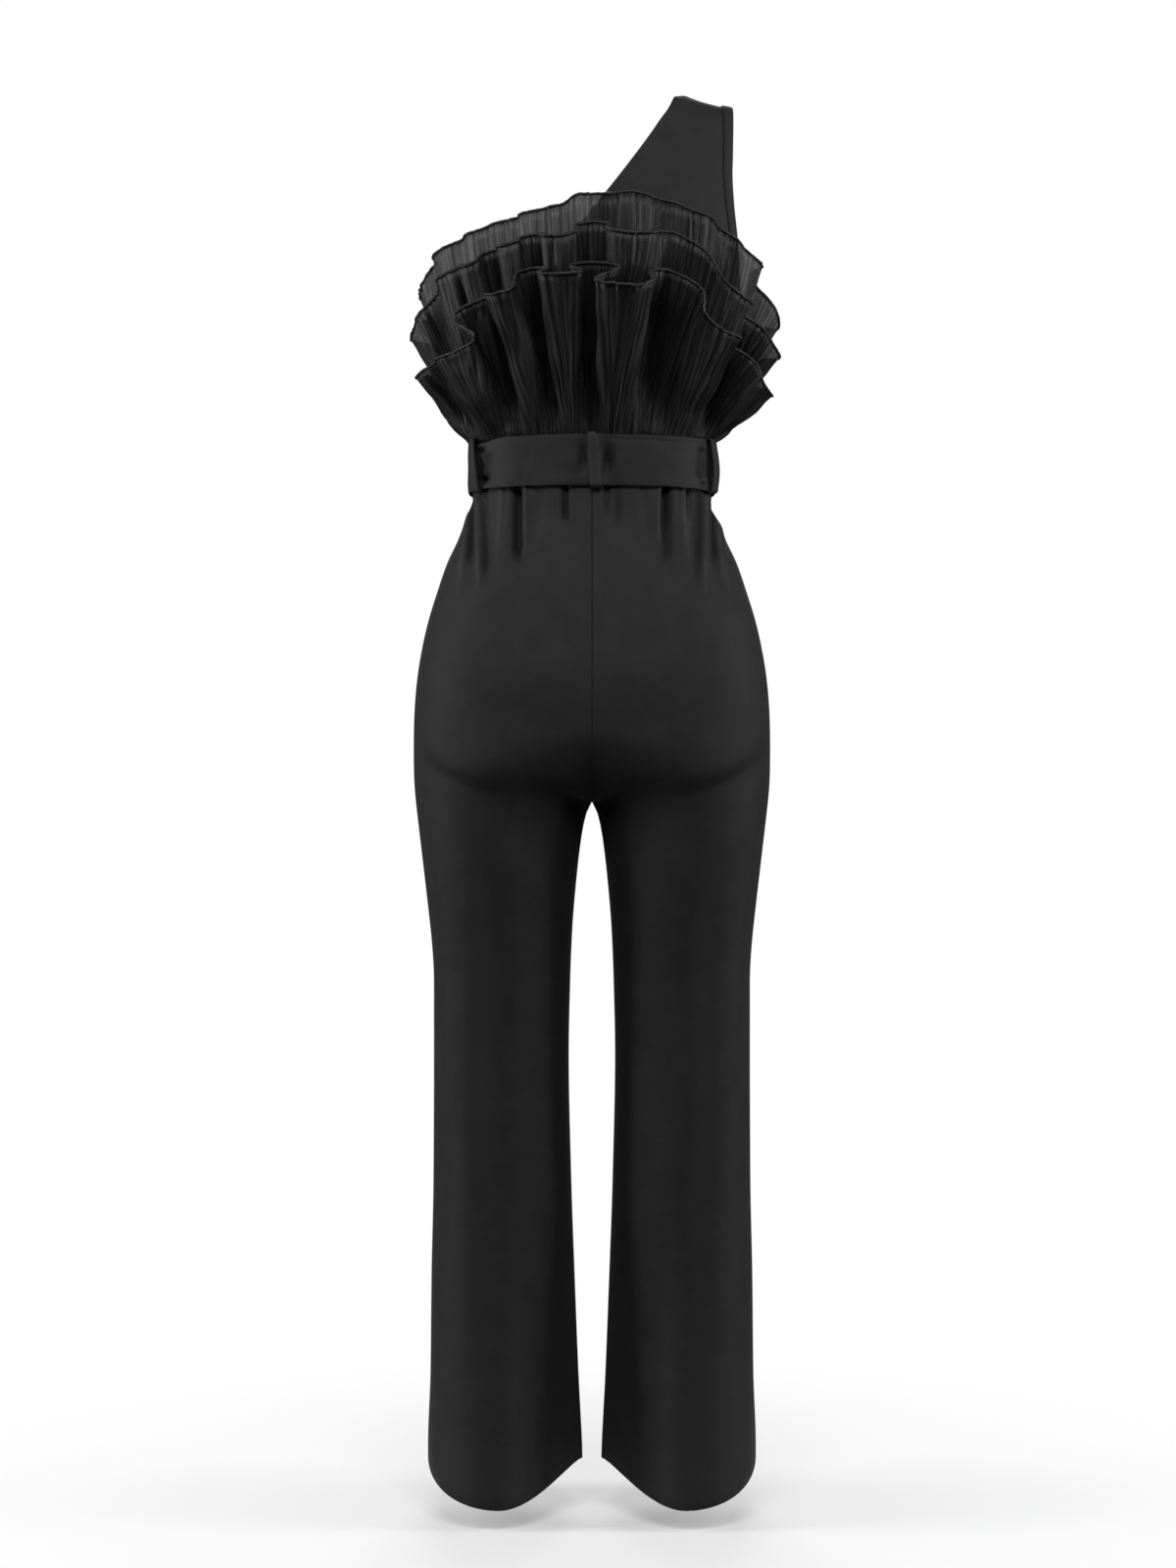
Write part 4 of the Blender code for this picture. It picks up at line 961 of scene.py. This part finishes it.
def trouser_cloth(side, face):
    """Points of a trouser panel, and its shade."""
    outer, inner, crotch_turn = trouser_levels()
    share = np.linspace(0.0, 1.0, TROUSER_FINE_COLUMNS)[None, :]
    points = trouser_points(share, outer, inner, crotch_turn, side, face)
    soften(points, share, outer)
    height = points[..., 2]
    folds = drawn_in_by_folds(points[..., 0] * side, face, height) / DEEP_FOLD
    folds = folds * ease(SHADE_FROM, SHADE_FULL, below_belt(height))
    shade = 1 - FOLD_SHADE * np.clip(folds, 0.0, 1.0) + RIDGE_LIGHT * np.clip(-2 * folds, 0.0, 1.0)
    drawn_in = crease_depth(share, height, side, face)
    if face > 0:
        seat = seat_fold_depth(share, height)
        drawn_in = drawn_in + seat
        shade = shade * (1 - SEAT_SHADE * seat / max(row.depth for row in SEAT_FOLD))
    # The folds leave the centre seam closed: they draw it straight in, and die away along the crotch.
    sign = -side * face
    out = normals(points) * sign
    out[..., 0] *= 1 - ease(0.78, 1.0, share) * (1 - ease(50.0, 90.0, crotch_turn))
    drawn_in = drawn_in * (1 - ease(0.70, 1.0, share) * ease(0.0, 50.0, crotch_turn))
    points = trouser_seams(points - out * drawn_in[..., None], crotch_turn, sign)
    return points, np.pad(shade, ((0, ADDED), (ADDED, ADDED)), mode="edge")


# --- Belt and loops ---
BELT_RING = (BELT_HALF_WIDTH, BELT_BACK_DEPTH, BELT_FRONT_DEPTH)
BELT_PLACES, BELT_SECTION_POINTS = 520, 56
FACE_SQUARENESS, EDGE_SQUARENESS = 0.55, 0.45  # below 1 the belt's section is squarer
BELT_SAG, BELT_SAG_TURN, BELT_SAG_WIDTH = 0.0044, -68.0, 16.0  # of the upper edge beside the left loop
DEEP_DENT, DENT_SHADE = 0.0045, 0.75  # a dent this deep is darker by this share
DENT_INSIDE = 0.7  # share of a dent's depth on the belt's inner face
LOOP_COLUMNS, LOOP_STRAIGHT_ROWS = 9, 28
LOOP_CORNER, LOOP_CORNER_POINTS = 0.0022, 7  # where it turns over the belt's edge
LOOP_ROOM = 0.0010  # it lies this loosely on the belt
LOOP_TUCK = 0.0012  # and its upper end goes this far in
LOOP_CROWN, LOOP_UNEVEN, LOOP_SWAY = 0.0004, 0.0004, 0.0006  # its rounded face and small irregularities

# Small uneven waves of the belt: how many there are round it and across it, how high they are, and
# their random seed.
Ripple = namedtuple("Ripple", "round across height seed")
FACE_RIPPLES = (Ripple(40, 4, 0.00035, 21), Ripple(140, 5, 0.00014, 22))
EDGE_RIPPLES = (Ripple(34, 1, 0.0007, 23), Ripple(90, 1, 0.0003, 24))


def belt_dip(turn):
    """How far below its height at the centre back the belt lies."""
    return BELT_DIP * ((1 - np.cos(np.radians(turn))) / 2) ** 2


def belt_section():
    """A flattened loop: (how far out, how far up) in shares of the half thickness and half height."""
    angle = np.linspace(0.0, math.tau, BELT_SECTION_POINTS, endpoint=False)
    out = np.sign(np.cos(angle)) * np.abs(np.cos(angle)) ** FACE_SQUARENESS
    up = np.sign(np.sin(angle)) * np.abs(np.sin(angle)) ** EDGE_SQUARENESS
    return out, up


def rippled(ripples, place, rows=None):
    """The sum of some small uneven waves, where place is 0 to 1 round the belt and rows 0 to 1 across it."""
    return sum(
        ripple.height * noise_round(place, ripple.round, ripple.seed, rows, ripple.across)
        for ripple in ripples
    )


def belt_cloth():
    """Points of the belt, a ring round its section for each place along it, and its shade."""
    out_share, up_share = belt_section()
    outer_face = out_share > 0
    start, end = -180.0 - BELT_OVERLAP, 180.0 + BELT_OVERLAP
    turn = np.linspace(start, end, BELT_PLACES)[:, None]
    place = (turn - start) / (end - start)
    climb_end = 180.0 - BELT_OVERLAP - BELT_STEP_CLEARANCE
    lift = (BELT_CLOTH + LAY_GAP) * ease(climb_end - BELT_STEP_UP, climb_end, turn)
    soft = rippled(FACE_RIPPLES, place, (up_share + 1) / 2) * outer_face
    dents = sum(
        dent.depth * bell(turn - dent.turn, dent.wide) * bell(up_share - dent.across, dent.high)
        for dent in DENTS
    )
    reach = lift + BELT_CLOTH / 2 * out_share + soft - dents * np.where(outer_face, 1.0, DENT_INSIDE)
    height = BELT_CENTRE - belt_dip(turn) + (BELT_HEIGHT / 2 + rippled(EDGE_RIPPLES, place)) * up_share
    height = height - BELT_SAG * bell(turn - BELT_SAG_TURN, BELT_SAG_WIDTH) * np.maximum(up_share, 0.0)
    points = ring_points(turn, *BELT_RING, height) + ring_normals(turn, *BELT_RING) * reach[..., None]
    # The two ends are closed by drawing the section together.
    ends = points[[0, -1]]
    ends[..., :2] = ends[..., :2].mean(axis=1, keepdims=True)
    points = np.concatenate([ends[:1], points, ends[1:]])
    shade = 1 - DENT_SHADE * np.clip(dents / DEEP_DENT, 0.0, 1.0) * outer_face
    return points, np.pad(shade, ((1, 1), (0, 0)), mode="edge")


def loop_path(front, top):
    """How far out from the belt's middle and how far up a loop is, from its upper end to its lower end."""
    upper = [(-LOOP_TUCK, top), (0.0, top)]
    for angle in np.linspace(math.pi / 2, 0.0, LOOP_CORNER_POINTS):
        short, low = LOOP_CORNER * (1 - math.cos(angle)), LOOP_CORNER * (1 - math.sin(angle))
        upper.append((front - short, top - low))
    heights = np.linspace(top - LOOP_CORNER, LOOP_CORNER - top, LOOP_STRAIGHT_ROWS + 2)[1:-1]
    lower = [(reach, -height) for reach, height in reversed(upper[1:])]
    return np.array(upper + [(front, height) for height in heights] + lower).T


def loop_cloth(loop):
    """A strip over the belt, as rows of points across it."""
    outwards = ring_normals(loop.turn, *BELT_RING)
    rightwards = np.cross((0.0, 0.0, 1.0), outwards)
    centre = ring_points(loop.turn, *BELT_RING, BELT_CENTRE - belt_dip(loop.turn))
    front = BELT_CLOTH / 2 + LOOP_CLEARANCE + LOOP_WALL / 2 + LOOP_ROOM
    top = BELT_HEIGHT / 2 + LOOP_CLEARANCE + LOOP_CLOTH / 2
    reach, height = loop_path(front, top)
    place = np.linspace(0.0, math.pi, len(reach))
    # The turn shifts the uneven waves, so that no two loops are alike.
    bulge = LOOP_UNEVEN * np.sin(3 * place + loop.turn) + loop.bulge * np.sin(place) ** 2
    down = 0.5 - height / (2 * top)
    sway = loop.lean * down + LOOP_SWAY * np.sin(1.6 * math.pi * down)
    width = LOOP_WIDTH * between(loop.top_width, loop.bottom_width, down)
    across = np.linspace(-0.5, 0.5, LOOP_COLUMNS)[:, None]
    crown = LOOP_CROWN * (1 - (2 * across) ** 2)
    out = reach + (bulge + crown) * ease(front - LOOP_CORNER, front, reach)
    points = centre + outwards * out[..., None] + rightwards * (across * width + sway)[..., None]
    points[..., 2] += height
    return points


# --- Ruffles ---
THREADS_PER_SIDE = 60
RUFFLE_FINE_ROWS = 22
CRINKLE_STEP = 0.00114  # between the threads at the free edge
ROOT_DROP = 0.0070  # the gathered edge is caught behind the belt
FOLD_HEIGHT, PLEAT_HEIGHT, GATHER_HEIGHT = 0.0042, 0.0017, 0.0015
CRINKLE_HEIGHTS = (0.00060, 0.00090)  # at the gathered edge and the free edge
HOLLOW_SHADE, PLEAT_SHADE, GATHER_SHADE = 0.88, 0.50, 0.75  # how much darker each is where it is deepest
ROW_SPREAD = 1.15  # above 1, the rows lie closer together near the belt
ROOM_AT_BELT, ROOM_OVER = 0.15, 0.35  # the waves' share of their height at the belt, and where it is full
WANDER, WANDER_WAVES, WANDER_SEED = 0.0020, 60, 5  # how far the small waves stray round the tier
HEM_UNEVEN, HEM_WAVES, HEM_SEED = 0.12, 300, 9  # share by which the rolled hem's thickness changes

# The small waves of a tier: how far apart they lie, how many there are up the cloth, and what is added to
# the tier's seed, as the seeds above are.
SmallWave = namedtuple("SmallWave", "name spacing up seed")
SMALL_WAVES = (
    SmallWave("folds", 0.0210, 2, 0),
    SmallWave("pleats", 0.0070, 3, 1),
    SmallWave("crinkles", 0.0034, 4, 2),
    SmallWave("gathers", 0.0046, 3, 3),
)


def ruffle_side(start, end, curl, swell_power, rising):
    """(root turn, edge turn, lean, depth, swell) of each thread from one turning point to the next.

    swell is 0 in a hollow and 1 on a crest.
    """
    share = np.arange(THREADS_PER_SIDE) / THREADS_PER_SIDE
    span = (end[0] - start[0]) % 360
    to_crest = share if rising else 1 - share
    swell = (1 - np.cos(math.pi * to_crest**swell_power)) / 2
    hollow_lean, crest_lean = (start[1], end[1]) if rising else (end[1], start[1])
    slide = share + curl / math.tau * np.sin(math.tau * share)
    columns = (
        start[0] + span * share, start[0] + span * slide,
        between(hollow_lean, crest_lean, swell), between(start[2], end[2], share), swell,
    )
    return np.stack(columns)


def ruffle_threads(tier):
    """The five values of ruffle_side for every thread round a tier."""
    threads = []
    waves = WAVES[tier.name]
    for wave, after in zip(waves, waves[1:] + waves[:1]):
        crest = (wave.crest, wave.lean, wave.depth)
        hollow = (wave.hollow, wave.hollow_lean, wave.hollow_depth)
        next_crest = (after.crest, after.lean, after.depth)
        threads.append(ruffle_side(crest, hollow, wave.curl_after, tier.breadth, False))
        threads.append(ruffle_side(hollow, next_crest, after.curl_before, tier.breadth, True))
    return np.concatenate(threads, axis=1)


def ruffle_points(tier, threads, share):
    """Points at shares of the way up the threads. Below 0 the cloth goes down behind the belt."""
    root_turn, edge_turn, lean, depth, _ = (line[None, :] for line in threads)
    up = np.maximum(share, 0.0)[:, None]
    under = np.maximum(-share, 0.0)[:, None]
    turn = between(root_turn, edge_turn, up**RUFFLE_SLIDE)
    angle = np.radians(lean)
    base = BELT_CENTRE - belt_dip(turn) + BELT_HEIGHT / 2 + RUFFLE_BASE_LIFT
    height = base + depth * np.cos(angle) * up - ROOT_DROP * under
    half_width, back, _, _ = torso(height)
    front = torso(np.minimum(height, RUFFLE_FORM_TOP))[2]
    stand_off = between(tier.stand_off, tier.root_stand_off, ease(0.0, 1.0, under))
    reach = CLOTH / 2 + stand_off + depth * np.sin(angle) * up**RUFFLE_FLARE
    ring = (half_width, back, front)
    return ring_points(turn, *ring, height) + ring_normals(turn, *ring) * reach[..., None]


def spread_evenly(tier, threads):
    """The threads again, the same distance apart at the free edge."""
    once_round = np.array([[360.0], [360.0], [0.0], [0.0], [0.0]])
    closed = np.concatenate([threads, threads[:, :1] + once_round], axis=1)
    edge = ruffle_points(tier, closed, np.array([1.0]))[0]
    length = length_along(edge)
    count = round(length[-1] / CRINKLE_STEP)
    at = np.arange(count) * length[-1] / count
    return np.stack([np.interp(at, length, line) for line in closed]), length[-1]


def ruffle_cloth(tier):
    """Points of a tier, the length of its free edge, and its shade."""
    threads, length = spread_evenly(tier, ruffle_threads(tier))
    *_, crest = threads  # 0 in a hollow and 1 on a crest
    # The first two rows are behind the belt.
    share = np.concatenate([[-1.0, -0.5], np.linspace(0.0, 1.0, RUFFLE_FINE_ROWS) ** ROW_SPREAD])
    points = ruffle_points(tier, threads, share)
    place = np.broadcast_to(np.arange(len(crest)) / len(crest), points.shape[:2])
    rows = np.broadcast_to(np.clip(share, 0.0, 1.0)[:, None], place.shape)
    wander = WANDER * noise_round(place, WANDER_WAVES, tier.seed + WANDER_SEED, rows, 4) / length
    folds, pleats, crinkles, gathers = (
        noise_round(place + wander, round(length / small.spacing), tier.seed + small.seed, rows, small.up)
        for small in SMALL_WAVES
    )
    # The gathers are dense and shallow at the waist, and the soft folds die away towards the free edge.
    room = between(ROOM_AT_BELT, 1.0, ease(0.0, ROOM_OVER, rows))
    lift = folds * FOLD_HEIGHT * room * (1 - 0.65 * ease(0.6, 1.0, rows))
    lift += (1 - 2 * np.abs(pleats)) * PLEAT_HEIGHT * room * (1 - 0.45 * ease(0.75, 1.0, rows))
    lift += crinkles * between(*CRINKLE_HEIGHTS, rows)
    lift += (1 + gathers) / 2 * GATHER_HEIGHT * (1 - ease(0.05, 0.34, rows))
    # Between its two ends the cloth falls deeper into the hollows than straight threads would.
    swell = between(-tier.sink, tier.swell, ease(0.10, 0.90, crest))
    lift += swell * np.sin(math.pi * rows**0.8)
    lift = lift * ease(-1.0, 0.15, share)[:, None]
    points = points + normals(points, closed=True) * lift[..., None]
    deep = (1 - crest) ** 1.3 * between(1.0, 0.55, ease(0.75, 1.0, rows))
    shade = (1 - HOLLOW_SHADE * deep) * (1 - PLEAT_SHADE * np.abs(pleats))
    shade *= 1 - GATHER_SHADE * ease(-0.2, 0.5, -gathers) * (1 - ease(0.10, 0.60, rows))
    return points, length, shade


def ruffle_uvs(points, length):
    """Metres round and up a tier, with the threads as far apart everywhere as at its free edge."""
    rows, columns = points.shape[:2]
    across = np.broadcast_to(np.arange(columns) * length / columns, (rows, columns))
    up = np.append(0.0, np.cumsum(np.linalg.norm(np.diff(points, axis=0), axis=2).mean(axis=1)))
    return np.stack([across, np.broadcast_to(up[:, None], (rows, columns))], axis=-1)


def rolled_hem(tier, points):
    """A rolled cord along the free edge of a tier."""
    edge, up = points[-1], unit(points[-1] - points[-2])
    along = unit(np.roll(edge, -1, axis=0) - np.roll(edge, 1, axis=0))
    uneven = noise_round(np.arange(len(edge)) / len(edge), HEM_WAVES, tier.seed + HEM_SEED)
    radius, sideways = CORD_RADIUS * (1 + HEM_UNEVEN * uneven), unit(np.cross(along, up))
    return tube_round(f"hem_{tier.name}", edge, up, sideways, radius, CORD_SIDES, cord)


# --- Sewing ---
STITCH_PITCH, STITCH_FILLED = 0.0030, 0.80  # from one to the next, and the thread's share of it
STITCH_SIDES = 5
STITCH_PROFILE = ((0.0, 0.35), (0.25, 1.0), (0.75, 1.0), (1.0, 0.35))  # how far along it, and how thick


def stitches(name, path, out, finish):
    """A row of short raised threads along a closed path."""
    closed, closed_out = (np.concatenate([line, line[:1]]) for line in (path, out))
    length = length_along(closed)
    count = round(length[-1] / STITCH_PITCH)
    along, thick = np.array(STITCH_PROFILE).T
    radius = (thick * THREAD_RADIUS)[:, None, None]
    sides, end_face = grid_faces(len(along), STITCH_SIDES, True), np.arange(STITCH_SIDES)
    points, faces = [], []
    for k in range(count):
        at = length[-1] / count * (k + along * STITCH_FILLED)
        centres, ups = (
            np.stack([np.interp(at, length, line[:, axis]) for axis in range(3)], axis=-1)
            for line in (closed, closed_out)
        )
        sideways = unit(np.cross(unit(ups), unit(centres[-1] - centres[0])))
        points.append(centres[:, None] + radius * rings_round(STITCH_SIDES, sideways, unit(ups)))
        first, last = k * len(along) * STITCH_SIDES, ((k + 1) * len(along) - 1) * STITCH_SIDES
        faces += [*(first + sides).tolist(), (first + end_face[::-1]).tolist(), (last + end_face).tolist()]
    return make_piece(name, np.concatenate(points), faces, finish)


# --- The garment ---
crepe = crepe_material("black_crepe_cloth", (0.0160, 0.0155, 0.0165), (0.0215, 0.0206, 0.0220), 0.66, 0.16)
belt_crepe = crepe_material(
    "black_crepe_belt", (0.0165, 0.0160, 0.0172), (0.0225, 0.0215, 0.0232), 0.62, 0.14
)
organza = organza_material("black_crinkled_organza")
cord = plain_material("black_rolled_hem", (0.024, 0.0235, 0.025), 0.42)
thread = plain_material("black_thread", (0.016, 0.016, 0.017), 0.5)

for face in ("back", "front"):
    piece = cloth(f"cloth_bodice_{face}", bodice_cloth(face), KNIT, crepe, f"bodice_{face}")

rows, stitch_path, stitch_out = binding_cloth()
binding = cloth(
    "cloth_armhole_binding", rows, BINDING_WALL, crepe, "armhole_binding", closed=True
)
armhole_thread = stitches("thread_armhole", stitch_path, stitch_out, thread)

for side_name, side in (("left", 1), ("right", -1)):
    for face_name, face in (("back", 1), ("front", -1)):
        node = f"trouser_{face_name}_{side_name}"
        points, shade = trouser_cloth(side, face)
        piece = cloth(f"cloth_{node}", points, KNIT, crepe, node, shade=shade)

for tier in TIERS:
    points, length, shade = ruffle_cloth(tier)
    piece = cloth(
        f"cloth_{tier.name}", points, SHEER, organza, tier.name,
        closed=True, uvs=ruffle_uvs(points, length), shade=shade,
    )
    hem = rolled_hem(tier, points)

points, shade = belt_cloth()
faces = grid_faces(*points.shape[:2], True)
belt = make_piece("cloth_belt", points, faces, belt_crepe, shade=shade)
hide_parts("belt")
# Each loop gets a painted highlight through its shade values, lighter than the belt it lies on.
for loop in LOOPS:
    piece = cloth(
        f"cloth_{loop.name}", loop_cloth(loop), LOOP_WALL, belt_crepe, loop.name,
        shade=LOOP_HIGHLIGHT,
    )


# --- Stage, light and camera ---
SKY_FILL = 0.06  # how bright the sky and the floor are as lights
FLOOR_CORNERS, FLOOR_RINGS = 64, 13
FLOOR_INNER_RING, FLOOR_RING_STEP = 0.4, 1.35  # its radius, and how much wider each next ring is
MIDDLE = (0.114, 0.0, -0.62)  # of the garment
CAMERA_PLACE = (0.118, 3.2, -0.69469)
CAMERA_LENS, CAMERA_SENSOR = 72.0, 36.0

# The soft lights: where each stands, its width and height, and its power in watts.
Lamp = namedtuple("Lamp", "name place size power")
LAMPS = (
    Lamp("soft_left", (2.7, 0.35, 0.0), (0.8, 2.6), 52.0),
    Lamp("soft_right", (-2.5, 0.35, 0.0), (0.8, 2.6), 45.0),
    Lamp("soft_above", (0.1, 2.0, 1.3), (1.6, 0.9), 47.0),
    Lamp("soft_front", (0.1, -2.6, 0.8), (1.6, 1.6), 50.0),
)


def area_light(lamp):
    """A soft light, turned to the middle of the garment."""
    light = bpy.data.lights.new(lamp.name, "AREA")
    light.shape = "RECTANGLE"
    light.size, light.size_y = lamp.size
    light.energy = lamp.power
    holder = put_in_scene(lamp.name, light)
    holder.location = lamp.place
    holder.rotation_euler = (Vector(MIDDLE) - Vector(lamp.place)).to_track_quat("-Z", "Y").to_euler()


def camera_strength(nodes, link):
    """White to the camera and dimmer as a light, so that the folds keep their shadows."""
    path = add_node(nodes, "LightPath")
    strength = add_node(nodes, "MapRange", To_Min=SKY_FILL, To_Max=1.0)
    link(path.outputs["Is Camera Ray"], strength.inputs["Value"])
    return strength.outputs["Result"]


def floor_material():
    """Pale and matt near the garment, and as bright as the sky further out."""
    made, nodes, link, shader = new_material("pale_floor")
    set_inputs(shader, Base_Color=(0.86, 0.86, 0.87, 1.0), Roughness=0.9, Specular_IOR_Level=0.1)
    shine = add_node(nodes, "Emission")
    link(camera_strength(nodes, link), shine.inputs["Strength"])
    place, mix = add_node(nodes, "TexCoord"), add_node(nodes, "MixShader")
    middle, far = add_node(nodes, "VectorMath", "SUBTRACT"), add_node(nodes, "VectorMath", "LENGTH")
    middle.inputs[1].default_value = tuple(ROOT)
    fade = add_node(nodes, "MapRange", From_Min=0.10, From_Max=0.9, To_Min=0.35)
    fade.interpolation_type = "SMOOTHSTEP"
    link(place.outputs["Object"], middle.inputs[0])
    link(middle.outputs["Vector"], far.inputs[0])
    link(far.outputs["Value"], fade.inputs["Value"])
    link(fade.outputs["Result"], mix.inputs["Fac"])
    link(shader.outputs["BSDF"], mix.inputs[1])
    link(shine.outputs["Emission"], mix.inputs[2])
    link(mix.outputs["Shader"], nodes["Material Output"].inputs["Surface"])
    return made


def make_floor():
    """A round pale floor whose colour runs into the sky's far from the garment."""
    radius = FLOOR_INNER_RING * FLOOR_RING_STEP ** np.arange(FLOOR_RINGS)[::-1, None]
    angle = np.arange(FLOOR_CORNERS) * math.tau / FLOOR_CORNERS
    points = np.stack(np.broadcast_arrays(radius * np.cos(angle), radius * np.sin(angle), 0.0), axis=-1)
    faces = grid_faces(FLOOR_RINGS, FLOOR_CORNERS, True).tolist()
    faces.append(list(range((FLOOR_RINGS - 1) * FLOOR_CORNERS, FLOOR_RINGS * FLOOR_CORNERS)))
    put_in_scene("floor", plain_mesh("floor", points, faces, floor_material()))


def make_world():
    world = bpy.data.worlds.new("studio")
    world.use_nodes = True
    nodes, link = world.node_tree.nodes, world.node_tree.links.new
    set_inputs(nodes["Background"], Color=(1.0, 1.0, 1.0, 1.0))
    link(camera_strength(nodes, link), nodes["Background"].inputs["Strength"])
    bpy.context.scene.world = world


def make_camera():
    data = bpy.data.cameras.new("camera")
    data.lens = CAMERA_LENS
    data.sensor_width = CAMERA_SENSOR
    camera = put_in_scene("camera", data)
    camera.location = CAMERA_PLACE
    camera.rotation_euler = (math.radians(90.0), 0.0, math.radians(180.0))
    bpy.context.scene.camera = camera


make_floor()
make_world()
for lamp in LAMPS:
    area_light(lamp)
make_camera()
bpy.context.scene.view_settings.view_transform = "Standard"
